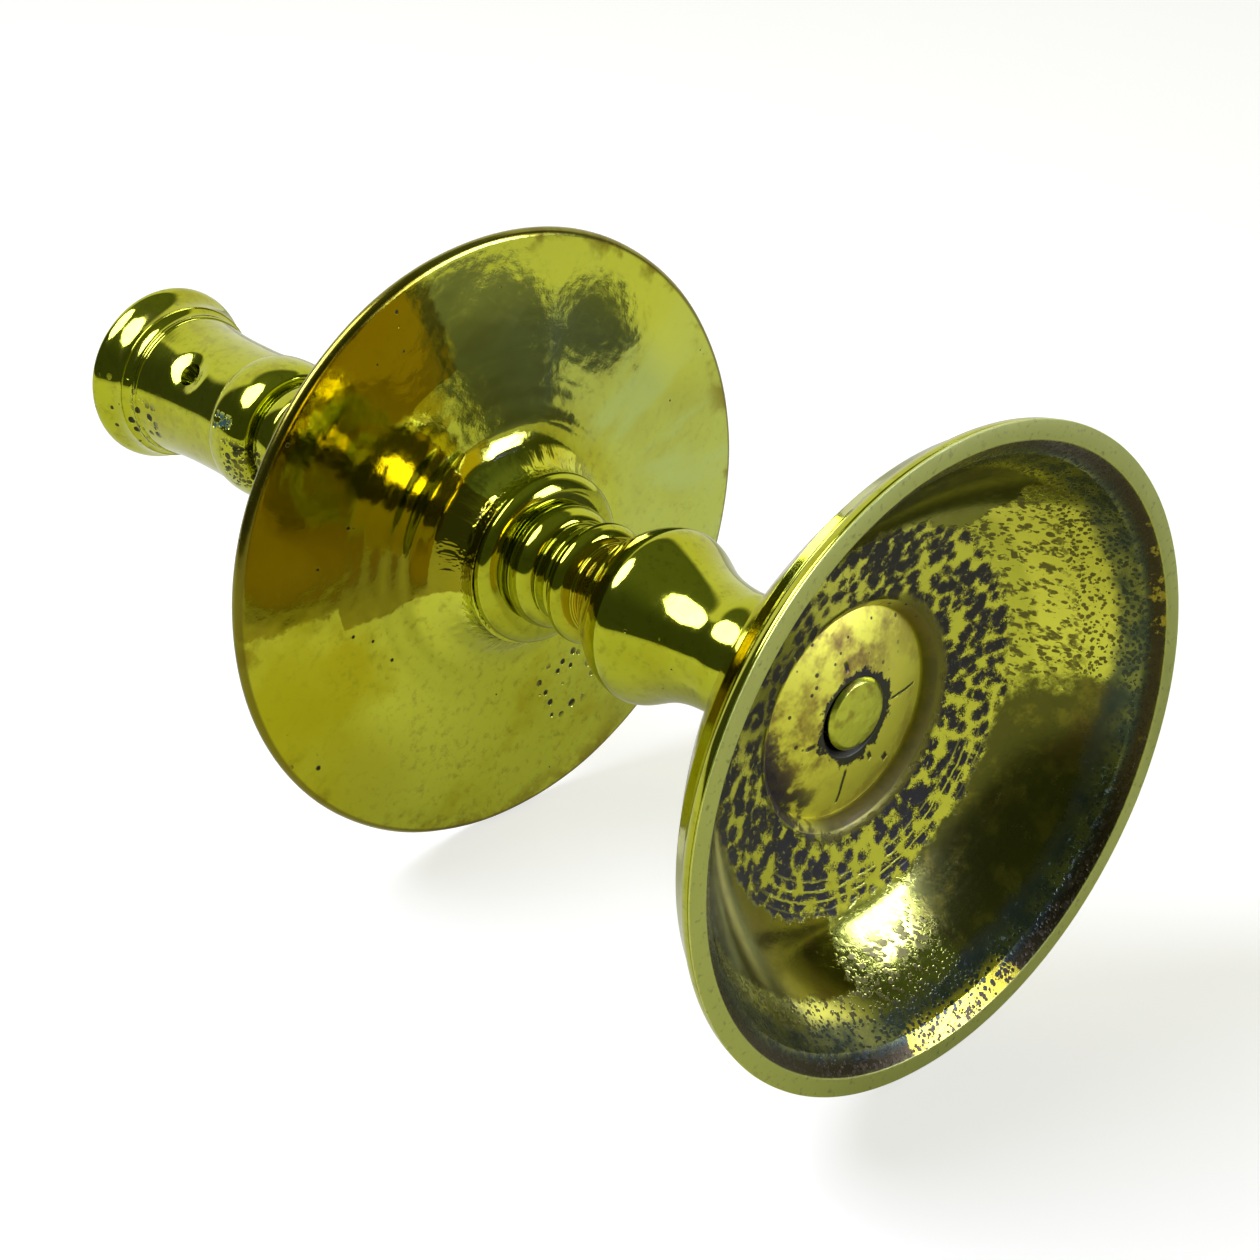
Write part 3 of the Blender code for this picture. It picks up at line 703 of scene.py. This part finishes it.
half = Outline(0.0, RIVET_FACE)
half.go(5.6, 0.3).go(RIVET_RADIUS, 0.7).go(TENON_RADIUS, 1.0)
half.go(TENON_RADIUS, BASE_SEAT - half.height)
half.go(BASE_RADIUS).torus(1.5, 3.4).fillet(13.8, 0.9).go(NECK_FOOT)
half.curve(NECK_RADIUS, 8.6, leave=(-1.5, 2.2), arrive=(0.0, 3.0))
half.curve(NECK_SWELL, 4.5, leave=(0.0, 1.6), arrive=(0.0, 1.5))
half.curve(11.05, 2.6, leave=(0.0, 0.8), arrive=(0.0, 0.8))
half.curve(BALUSTER_RADIUS, 17.5, leave=(0.0, 11.0), arrive=(0.0, 3.6))
half.curve(BALUSTER_TOP, 14.0, leave=(0.0, 4.7), arrive=(-2.9, 4.7))
half.fillet(8.4, 0.8)
half.quarter(SMALL_RING, 2.3, "level").go(SMALL_RING, 0.6)
half.fillet(WAIST_RADIUS, 2.0).torus(0.6, 1.5).go(WAIST_RADIUS, 2.0)
half.quarter(LARGE_RING, 3.8, "level").go(LARGE_RING, 0.5)
half.fillet(10.9, 1.0).go(12.2)
half.quarter(FLANGE_RADIUS, 2.6, "level").go(FLANGE_RADIUS, 0.5)
half.go(SPIGOT_HOLE).go(SPIGOT_HOLE, -SPIGOT_HOLE_DEPTH).go(0.0)

RIVET_LIME = (0.60, 0.64, 0.05)


def stem_finish():
    """Bright turned brass with a few pits, a painted gold reflection on the baluster's upper half,
    and a hammered matt rivet.
    """
    skin = Brass("stem brass")
    rivet = skin.z.step(22.0, 21.5)
    skin.mark(rivet, RIVET_LIME)
    skin.mark(rivet * skin.work.noise(260.0, 3.0, skin.place).step(0.52, 0.68), BROWN, 0.5)
    skin.rough += rivet * 0.22
    skin.relief += rivet * (skin.work.noise(330.0, 2.0, skin.place) - 0.5) * 0.25
    # painted reflection: gold on the baluster's upper half, as brass mirrored in brass
    skin.mark(skin.z.between(68.0, 80.5, 1.5), MIRRORED_GOLD, 0.75)
    low = skin.facing(215, 30, 10) * skin.z.between(45.0, 63.0, 3.0)
    skin.pit(skin.spots(2.6, 0.22, 0.5) * low, 0.08)
    skin.pit(skin.spots(6.0, 0.4, 0.10) * (1.0 - rivet), 0.12)
    return skin.finish()


stem = turned("lower_stem_casting", half, stem_finish(),
              **{"Wave Depth": 0.10 * MM, "Wave Scale": 90.0, "Wave Start": 7.0 * MM})
stem.data.transform(Matrix.Translation(Vector((math.cos(OUT_OF_TRUE_BEARING),
                                               math.sin(OUT_OF_TRUE_BEARING), 0.0)) * OUT_OF_TRUE))
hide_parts("lower_stem")
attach(stem, "root")


# Drip pan
# A wide casting turned thin, with a collar underneath that sweeps out into the pan's flat
# underside. It is gripped between the two stems.
PAN_HOLE = 4.5
PAN_SEAT = 98.0
COLLAR_RADIUS = 15.9
SWEEP_RADIUS = 25.0           # where the collar has swept out into the underside
SWEEP_RISE = 6.6
RIM_START = 56.7
RIM_ROUND = 1.3
DISH_EDGE = 54.1
DISH_FLOOR = 108.2
DISH_FLAT = 16.5

half = Outline(PAN_HOLE, PAN_SEAT)
half.go(COLLAR_RADIUS).go(COLLAR_RADIUS, 1.0)
half.quarter(SWEEP_RADIUS, SWEEP_RISE, "upright")
half.curve(RIM_START, 2.7, leave=(10.6, 0.45), arrive=(10.6, 1.35))
half.torus(RIM_ROUND, 2 * RIM_ROUND)
half.go(DISH_EDGE, -0.6)
half.curve(DISH_FLAT, DISH_FLOOR - half.height, leave=(-12.5, -1.35), arrive=(-12.5, 0.0))
half.go(PAN_HOLE)

PAN_LIME = (0.62, 0.65, 0.045)
PAN_STAIN = (0.47, 0.43, 0.006)
PAN_PAINTED_LIGHT = (0.86, 0.89, 0.060)
PAN_PAINTED_SHADE = (0.43, 0.405, 0.006)
AMBER_REFLECTION = (0.27, 0.225, 0.004)
TARNISH = (0.26, 0.20, 0.006)
RIM_BROWN = (0.17, 0.14, 0.008)
WIPED_SIDE = (25, 62, 40)     # zones of the pan: bearing, half angle and width of the edge
PAINTED_LIGHT_SIDE = (338, 34, 22)
PAINTED_SHADE_SIDE = (198, 20, 18)
AMBER_REFLECTION_OUTER = (262, 37, 4)
AMBER_REFLECTION_INNER = (250, 31, 4)
PIT_ROWS = (116, 10, 3)
DEEP_PITS = (194, 7, 2)
RIM_RUBBED_AT = 56.6          # radii on the pan, in mm
RING_PITCH = 4.2


def pan_finish():
    """Polished brass with cloudy stains, wiping marks and pits, a painted amber reflection, and a
    rough-turned collar.
    """
    skin = Brass("pan brass", base=PAN_LIME, stain=PAN_STAIN, stain_scale=26.0, stain_share=0.9)
    work = skin.work
    bloom = work.noise(55.0, 4.0, skin.round_axis(58.0 * MM, 0.45 * MM), 0.6).step(0.50, 0.66)
    wiped = skin.facing(*WIPED_SIDE) * skin.radius.step(20.0, 30.0)
    skin.mark(wiped * (0.45 + bloom * 0.4), HAZE)
    skin.film += wiped * (0.03 + bloom * 0.10)
    # painted light and shade: the pan's outer part is lighter on its upper side and darker on a
    # lower side, where it mirrors the shadowed table
    skin.mark(skin.facing(*PAINTED_LIGHT_SIDE) * skin.radius.step(40.0, 50.0), PAN_PAINTED_LIGHT, 0.75)
    skin.mark(skin.facing(*PAINTED_SHADE_SIDE) * skin.radius.step(35.0, 48.0), PAN_PAINTED_SHADE, 0.75)
    # painted reflection: an amber zone where the pan mirrors the foot and the lower stem
    far_part = skin.radius.step(37.5, 39.0)
    amber_reflection = skin.facing(*AMBER_REFLECTION_OUTER) * far_part + skin.facing(*AMBER_REFLECTION_INNER) * (1.0 - far_part)
    amber_reflection += (work.noise(130.0, 6.0, skin.place, 0.7) - 0.5) * 1.6
    amber_reflection = amber_reflection.step(0.38, 0.62) * skin.z.step(109.5, 109.0)
    skin.mark(amber_reflection, AMBER_REFLECTION, 0.85)
    edge = skin.radius.step(51.0, 57.5)
    tarnish = edge * work.noise(90.0, 4.0, skin.place, 0.6).step(0.50, 0.64)
    skin.mark(tarnish, TARNISH, 0.8)
    rim = skin.radius.step(RIM_RUBBED_AT, RIM_RUBBED_AT + 0.6)
    skin.mark(rim, RIM_BROWN, 0.85)
    skin.rough += rim * 0.15
    collar = skin.radius.step(20.5, 18.5) * skin.z.step(106.0, 105.0)
    chatter = work.noise(1100.0, 2.0, skin.round_axis(9.0 * MM, 0.9 * MM))
    skin.relief += collar * chatter * 0.35
    turning = work.noise(1000.0, 2.0, skin.round_axis(1.5 * MM, 0.8 * MM)) - 0.5
    hammered = work.noise(150.0, 2.0, skin.place) - 0.5
    rings = work.maths("SINE", skin.radius * (math.tau / RING_PITCH)) * skin.radius.step(42.0, 22.0)
    pocked = work.noise(480.0, 3.0, skin.place, 0.6) - 0.5
    skin.relief = skin.relief + turning * 0.004 + hammered * 0.10 + pocked * 0.016
    skin.relief += rings * (0.022 + amber_reflection * 0.03)
    rows = skin.facing(*PIT_ROWS) * skin.radius.between(29.0, 42.0, 1.0)
    skin.pit(skin.spots(2.7, 1.10, 0.85) * rows, 0.2)
    skin.pit(skin.spots(5.0, 0.42, 0.40), 0.15)
    deep = skin.facing(*DEEP_PITS) * skin.radius.between(52.0, 56.5, 0.5)
    skin.pit(skin.spots(2.4, 0.8, 0.7) * deep, 0.25)
    skin.pit(skin.spots(3.0, 0.3, 0.3) * edge, 0.1)
    return skin.finish()


pan = turned("drip_pan_casting", half, pan_finish(), closed=True,
             **{"Wave Depth": 0.55 * MM, "Wave Scale": 32.0, "Wave Start": 17.0 * MM})
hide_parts("drip_pan")
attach(pan, "root")


# Upper stem
# One casting from the spigot that screws down through the pan to the candle socket, bored out
# and drilled through one side so that a stub of candle can be pushed out.
TOP_FACETS = 224
PUSH_HOLE_HEIGHT = 195.7 * MM
DRILL_FACETS = 64
PUSH_HOLE_RADIUS = 3.0 * MM
PUSH_HOLE_TAPER = 1.5 * MM    # narrower inside by this
DRILL_FROM = 9.0 * MM         # the drill's two ends, from the axis
DRILL_TO = 15.0 * MM
DISH_RADIUS = 6.0 * MM        # the wall is worn hollow round the hole
DISH_DEPTH = 1.05 * MM
DISH_CENTRE = 14.0 * MM       # from the axis
DISH_THROUGH = 3.0 * MM       # the wall's thickness that goes with it

SPIGOT_END = 87.7
SPIGOT_RADIUS = 4.2
SPIGOT_LENGTH = 20.8
FOOT_RING = 15.0              # base ring on the pan's floor
VASE_RADIUS = 13.4
VASE_NECK = 7.9
CUP_RING = 12.0               # ring under the socket
BOWL_RADIUS = 14.65           # the socket's swollen bottom
SOCKET_WAIST = 13.7
SOCKET_TOP = 14.6
LIP_RADIUS = 18.35
LIP_EDGE = 17.55
BORE_MOUTH = 10.4
BORE_FLOOR = 9.2
BORE_DEPTH = 32.7

half = Outline(0.0, SPIGOT_END)
half.go(SPIGOT_RADIUS).go(SPIGOT_RADIUS, SPIGOT_LENGTH)
half.go(FOOT_RING).go(FOOT_RING, 1.4)
half.quarter(12.0, 2.0, "upright").quarter(9.3, 5.4, "level")
half.torus(1.6, 2.4).go(9.2)
half.curve(VASE_RADIUS, 9.8, leave=(4.2, 2.45), arrive=(0.0, 3.3))
half.curve(VASE_NECK, 21.5, leave=(0.0, 7.2), arrive=(0.0, 7.2))
half.torus(2.5, 2.4).go(8.7)
half.quarter(11.0, 12.5, "upright").quarter(CUP_RING, 1.0, "level")
half.go(CUP_RING, 2.8).quarter(11.0, 1.0, "upright")
half.fillet(10.9, 1.3).go(12.4)
half.quarter(BOWL_RADIUS, 6.6, "level").quarter(13.85, 4.4, "upright")
half.curve(SOCKET_WAIST, 7.5, leave=(0.0, 2.5), arrive=(0.0, 2.5))
half.curve(SOCKET_TOP, 18.1, leave=(0.0, 9.0), arrive=(0.75, 6.0))
half.torus(0.4, 1.2).go(14.9)
half.curve(15.8, 2.4, leave=(0.0, 0.8), arrive=(0.9, 1.2)).go(16.1)
half.curve(17.4, 4.4, leave=(0.1, 2.2), arrive=(0.6, 1.1))
half.curve(LIP_RADIUS, 2.6, leave=(0.6, 0.9), arrive=(0.0, 0.9))
half.quarter(LIP_EDGE, 0.8, "upright")
half.go(BORE_MOUTH + 0.8).go(BORE_MOUTH, -0.8).go(BORE_FLOOR, -BORE_DEPTH).go(0.0)

VERDIGRIS = (0.06, 0.17, 0.13)
CLOUDED = (0.33, 0.31, 0.03)
BOWL_PITS = (214, 21, 4)      # zones of the socket: bearing, half angle and width of the edge
SEAM_PITS = (214, 14, 6)
LIP_PITS = (212, 26, 10)
VERDIGRIS_AT = (247, 6, 2)
SCRAPED = (275, 30, 10)


def socket_finish():
    """Polished brass with clusters of black casting pits and a touch of verdigris."""
    skin = Brass("socket brass")
    ragged = skin.work.noise(700.0, 3.0, skin.place, 0.6) - 0.5
    bowl = skin.facing(*BOWL_PITS) * skin.z.between(168.5, 178.0, 1.0)
    pits = skin.spots(1.35, 0.95, 0.95).either(skin.spots(0.8, 0.45, 0.75))
    skin.pit((pits + ragged * 0.3).step(0.3, 0.7) * bowl, 0.25)
    seam = skin.facing(*SEAM_PITS) * skin.z.between(203.0, 210.0, 1.0)
    skin.pit((skin.spots(2.0, 1.45, 0.90) + ragged * 0.9).step(0.4, 0.8) * seam, 0.3)
    lip = skin.facing(*LIP_PITS) * skin.z.between(209.0, 217.0, 1.0)
    skin.pit((skin.spots(2.3, 1.1, 0.6) + ragged * 0.7).step(0.4, 0.8) * lip, 0.25)
    green = skin.facing(*VERDIGRIS_AT) * skin.z.between(176.0, 181.0, 0.6)
    skin.pit(skin.spots(1.5, 1.0, 0.95) * green, 0.35, VERDIGRIS)
    skin.pit(skin.spots(5.0, 0.35, 0.25), 0.12)
    # the bright skin over the hole is scraped, and the rest is clouded by old polish
    scraped = skin.work.noise(900.0, 2.0, skin.round_axis(4.0 * MM, 1.6 * MM)) - 0.5
    scraped = scraped * 0.016 * skin.facing(*SCRAPED)
    skin.relief += scraped * skin.z.between(190.0, 208.0, 2.0)
    cloudy = skin.work.noise(170.0, 4.0, skin.place, 0.65).step(0.50, 0.68)
    skin.mark(cloudy, CLOUDED, 0.5)
    skin.film *= 0.5
    skin.rough += cloudy * 0.06
    return skin.finish()


def dish(piece, centre, outwards, reach, depth):
    """Presses a shallow bowl into a wall round a point."""
    for vertex in piece.data.vertices:
        away_from = vertex.co - centre
        share = (away_from - outwards * away_from.dot(outwards)).length / reach
        if share < 1.0 and away_from.dot(outwards) > -DISH_THROUGH:
            vertex.co -= outwards * depth * (1.0 - share * share) ** 2


def drill(piece, start, reach, inner, outer):
    """Cuts a tapering hole along a direction, from one radius to another."""
    corners = [(math.cos(math.tau * k / DRILL_FACETS), math.sin(math.tau * k / DRILL_FACETS))
               for k in range(DRILL_FACETS)]
    rims = ((0.0, inner), (reach.length, outer))
    points = [(x * radius, y * radius, distance) for distance, radius in rims for x, y in corners]
    sides = [(k, (k + 1) % DRILL_FACETS, (k + 1) % DRILL_FACETS + DRILL_FACETS, k + DRILL_FACETS)
             for k in range(DRILL_FACETS)]
    ends = [tuple(range(DRILL_FACETS))[::-1], tuple(range(DRILL_FACETS, 2 * DRILL_FACETS))]
    mesh = bpy.data.meshes.new("drill")
    mesh.from_pydata(points, [], sides + ends)
    mesh.materials.append(piece.data.materials[0])
    mesh.transform(Matrix.Translation(start) @ reach.to_track_quat("Z", "Y").to_matrix().to_4x4())
    tool = added("drill", mesh)
    cut = piece.modifiers.new("hole", "BOOLEAN")
    cut.operation = "DIFFERENCE"
    cut.solver = "EXACT"
    cut.object = tool
    drilled = plain(piece.name, piece)
    bpy.data.objects.remove(tool)
    drilled.data.shade_smooth()
    drilled.data.set_sharp_from_angle(angle=CREASE)
    return drilled


top = turned("upper_stem_casting", half, socket_finish(), Facets=TOP_FACETS,
             **{"Wave Depth": 0.12 * MM, "Wave Scale": 90.0, "Wave Start": 12.5 * MM})
outwards = Vector((0, -1, 0))
dish(top, Vector((0, -DISH_CENTRE, PUSH_HOLE_HEIGHT)), outwards, DISH_RADIUS, DISH_DEPTH)
top = drill(top, Vector((0, -DRILL_FROM, PUSH_HOLE_HEIGHT)), outwards * (DRILL_TO - DRILL_FROM),
            PUSH_HOLE_RADIUS - PUSH_HOLE_TAPER, PUSH_HOLE_RADIUS)
top.name = "upper_stem_casting"
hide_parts("upper_stem")
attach(top, "root")


# Table
# A white sheet that the candlestick lies on, touching the rims of the pan and the foot. It is
# clear from behind, so that views from below it still see the candlestick.
LIE_ANGLE = math.radians(135.4)
PAN_RIM = 58.0                # the radii that touch the table and how far apart they are, in mm
FOOT_RIM = 56.0
RIMS_APART = 109.6
LIE_LEAN = math.atan2(PAN_RIM - FOOT_RIM, RIMS_APART)
LIE_DISTANCE = 56.05 * MM
TABLE_HALF_WIDTH = 1500 * MM
TABLE_NEAR = -900 * MM
TABLE_FAR = 1500 * MM

up = -Vector((math.cos(LIE_ANGLE) * math.cos(LIE_LEAN), math.sin(LIE_ANGLE) * math.cos(LIE_LEAN),
              -math.sin(LIE_LEAN)))
ahead = CAMERA_AIM - CAMERA_PLACE
north = (ahead - up * ahead.dot(up)).normalized()
east = north.cross(up)


def on_table(right, far, high=0.0):
    """A place by its distances to the camera's right, away from it and above the axis."""
    return east * right + north * far + up * high


def white_sheet(name, corners):
    """A flat white sheet, seen from its front only."""
    mesh = bpy.data.meshes.new(name)
    mesh.from_pydata(corners, [], [tuple(range(len(corners)))])
    mesh.materials.append(WHITE)
    sheet = added(name, mesh)
    return sheet


SHEET_WHITE = (0.40, 0.39, 0.185)        # looks white under the bluish lamps
SHOWN_WHITE = (0.72, 0.72, 0.72)         # the sheet shows this whatever falls on it
MIRRORED_WHITE = (0.30, 0.30, 0.30)      # and this where brass mirrors it

WHITE = bpy.data.materials.new("sheet white")
WHITE.use_nodes = True
sheet_work = Field(WHITE.node_tree)
paper = WHITE.node_tree.nodes["Principled BSDF"]
paper.inputs["Base Color"].default_value = (*SHEET_WHITE, 1.0)
paper.inputs["Roughness"].default_value = 1.0
paper.inputs["Specular IOR Level"].default_value = 0.0
paper.inputs["Emission Strength"].default_value = 1.0
direct_ray = sheet_work.add("ShaderNodeLightPath", out="Is Camera Ray")
mirror_ray = sheet_work.add("ShaderNodeLightPath", out="Is Glossy Ray")
shown = direct_ray.tint((0.0, 0.0, 0.0), SHOWN_WHITE)
shown = mirror_ray.tint(shown, MIRRORED_WHITE)
WHITE.node_tree.links.new(shown.socket, paper.inputs["Emission Color"])
behind = sheet_work.add("ShaderNodeNewGeometry", out="Backfacing")
clear = sheet_work.add("ShaderNodeBsdfTransparent")
one_sided = sheet_work.add("ShaderNodeMixShader", None,
                           {0: behind, 1: Field(WHITE.node_tree, paper.outputs[0]), 2: clear})
sheet_end = WHITE.node_tree.nodes["Material Output"]
WHITE.node_tree.links.new(one_sided.socket, sheet_end.inputs["Surface"])

white_sheet("table", [on_table(right, far, -LIE_DISTANCE) for right, far in
                      ((-TABLE_HALF_WIDTH, TABLE_NEAR), (TABLE_HALF_WIDTH, TABLE_NEAR),
                       (TABLE_HALF_WIDTH, TABLE_FAR), (-TABLE_HALF_WIDTH, TABLE_FAR))])

# two dark cloths lie on the table out of the picture, and show as a dark patch in the pan
CLOTH_POINTS = 90
CLOTH_THICKNESS = 1.0 * MM
CLOTH_DARK = (0.048, 0.054, 0.030)
FOLD_POWER = 16               # the higher, the narrower the fold
cloth_dark = bpy.data.materials.new("cloth dark")
cloth_dark.use_nodes = True
cloth_shader = cloth_dark.node_tree.nodes["Principled BSDF"]
cloth_shader.inputs["Base Color"].default_value = (*CLOTH_DARK, 1.0)
cloth_shader.inputs["Roughness"].default_value = 1.0


def dark_cloth(name, middle, half, lean, arm):
    """A wavy cloth; half is its half length and half width, arm how far a fold reaches out."""
    lean = math.radians(lean)
    corners = []
    for k in range(CLOTH_POINTS):
        turn = math.tau * k / CLOTH_POINTS
        reach = 1.0 - 0.06 * math.cos(4 * turn) + 0.03 * math.sin(7 * turn)
        reach += arm * max(0.0, math.cos(turn)) ** FOLD_POWER
        along, across = half[0] * reach * math.cos(turn), half[1] * reach * math.sin(turn)
        corners.append(on_table(middle[0] + along * math.cos(lean) - across * math.sin(lean),
                                middle[1] + along * math.sin(lean) + across * math.cos(lean),
                                CLOTH_THICKNESS - LIE_DISTANCE))
    cloth = white_sheet(name, corners)
    cloth.data.materials.clear()
    cloth.data.materials.append(cloth_dark)
    cloth.visible_camera = False


dark_cloth("long_cloth", (385 * MM, -27 * MM), (175 * MM, 52 * MM), 163.0, 0.9)
dark_cloth("small_cloth", (308 * MM, 70 * MM), (98 * MM, 26 * MM), 175.0, 0.0)

# a floor under the upright candlestick, which only the camera sees
FLOOR_HALF = 1500 * MM
FLOOR_DROP = 0.05 * MM
floor = white_sheet("floor", [Vector((a * FLOOR_HALF, b * FLOOR_HALF, -FLOOR_DROP))
                              for a, b in ((-1, -1), (1, -1), (1, 1), (-1, 1))])
for ray_kind in ("glossy", "diffuse", "transmission", "shadow"):
    setattr(floor, "visible_" + ray_kind, False)


# Light
# A large eight-sided soft box high on the left, a smaller one low on the right, a white backdrop
# behind, and a dark room behind the camera.
ROOM_DARK = (0.060, 0.072, 0.060)
CEILING = (0.145, 0.170, 0.140)
BACKDROP = (0.95, 0.95, 0.95)
SIDE_WALL = (0.30, 0.30, 0.28)
SHOWN_BEHIND = (1.0, 1.0, 1.0)
LAMPS_AIM = (-40 * MM, 45 * MM)          # the boxes face this place at the axis's height
COOL_WHITE = (10.0, 10.4, 26.0)

world = bpy.data.worlds.new("room")
world.use_nodes = True
world.node_tree.nodes.clear()
sky = Field(world.node_tree)
heading = sky.add("ShaderNodeTexCoord", out="Generated")
to_east, to_north, to_up = heading.dot(east), heading.dot(north), heading.dot(up)
azimuth = sky.maths("ARCTAN2", to_east, to_north) * math.degrees(1.0)
elevation = sky.maths("ARCSINE", to_up) * math.degrees(1.0)
backdrop = azimuth.between(-60.0, 66.0, 4.0) * elevation.between(-12.0, 50.0, 4.0)
side_wall = azimuth.between(66.0, 74.0, 4.0) * elevation.between(-3.0, 50.0, 4.0)
room = elevation.step(25.0, 65.0).tint(ROOM_DARK, CEILING)
room = side_wall.tint(room, SIDE_WALL)
room = backdrop.tint(room, BACKDROP)
direct = sky.add("ShaderNodeLightPath", out="Is Camera Ray")
room = direct.tint(room, SHOWN_BEHIND)
glow = sky.add("ShaderNodeBackground", None, {"Color": room, "Strength": 1.0})
world_end = world.node_tree.nodes.new("ShaderNodeOutputWorld")
world.node_tree.links.new(glow.socket, world_end.inputs["Surface"])
bpy.context.scene.world = world


def soft_box(name, bearing, height, distance, size, sides, colour):
    """A glowing panel that faces the candlestick; bearing and height are in degrees."""
    bearing, height = math.radians(bearing), math.radians(height)
    heading = on_table(math.cos(height) * math.sin(bearing), math.cos(height) * math.cos(bearing),
                       math.sin(height))
    middle = on_table(*LAMPS_AIM) + heading * distance
    right = heading.cross(up).normalized()
    rise = right.cross(heading)
    corners = []
    for k in range(sides):
        turn = (k + 0.5) * math.tau / sides
        corners.append(middle + right * size[0] * math.cos(turn) + rise * size[1] * math.sin(turn))
    mesh = bpy.data.meshes.new(name)
    mesh.from_pydata(corners, [], [tuple(range(sides))])
    material = bpy.data.materials.new(name)
    material.use_nodes = True
    material.node_tree.nodes.clear()
    light = Field(material.node_tree).add("ShaderNodeEmission", None, {"Color": colour})
    end = material.node_tree.nodes.new("ShaderNodeOutputMaterial")
    material.node_tree.links.new(light.socket, end.inputs["Surface"])
    mesh.materials.append(material)
    box = added(name, mesh)
    box.visible_camera = False
    return box


soft_box("soft_box_left", -92.0, 55.0, 1.0, (0.35, 0.35), 8, COOL_WHITE)
right_box = soft_box("soft_box_right", 105.0, 14.0, 0.75, (0.16, 0.26), 4, COOL_WHITE)
right_box.visible_diffuse = False
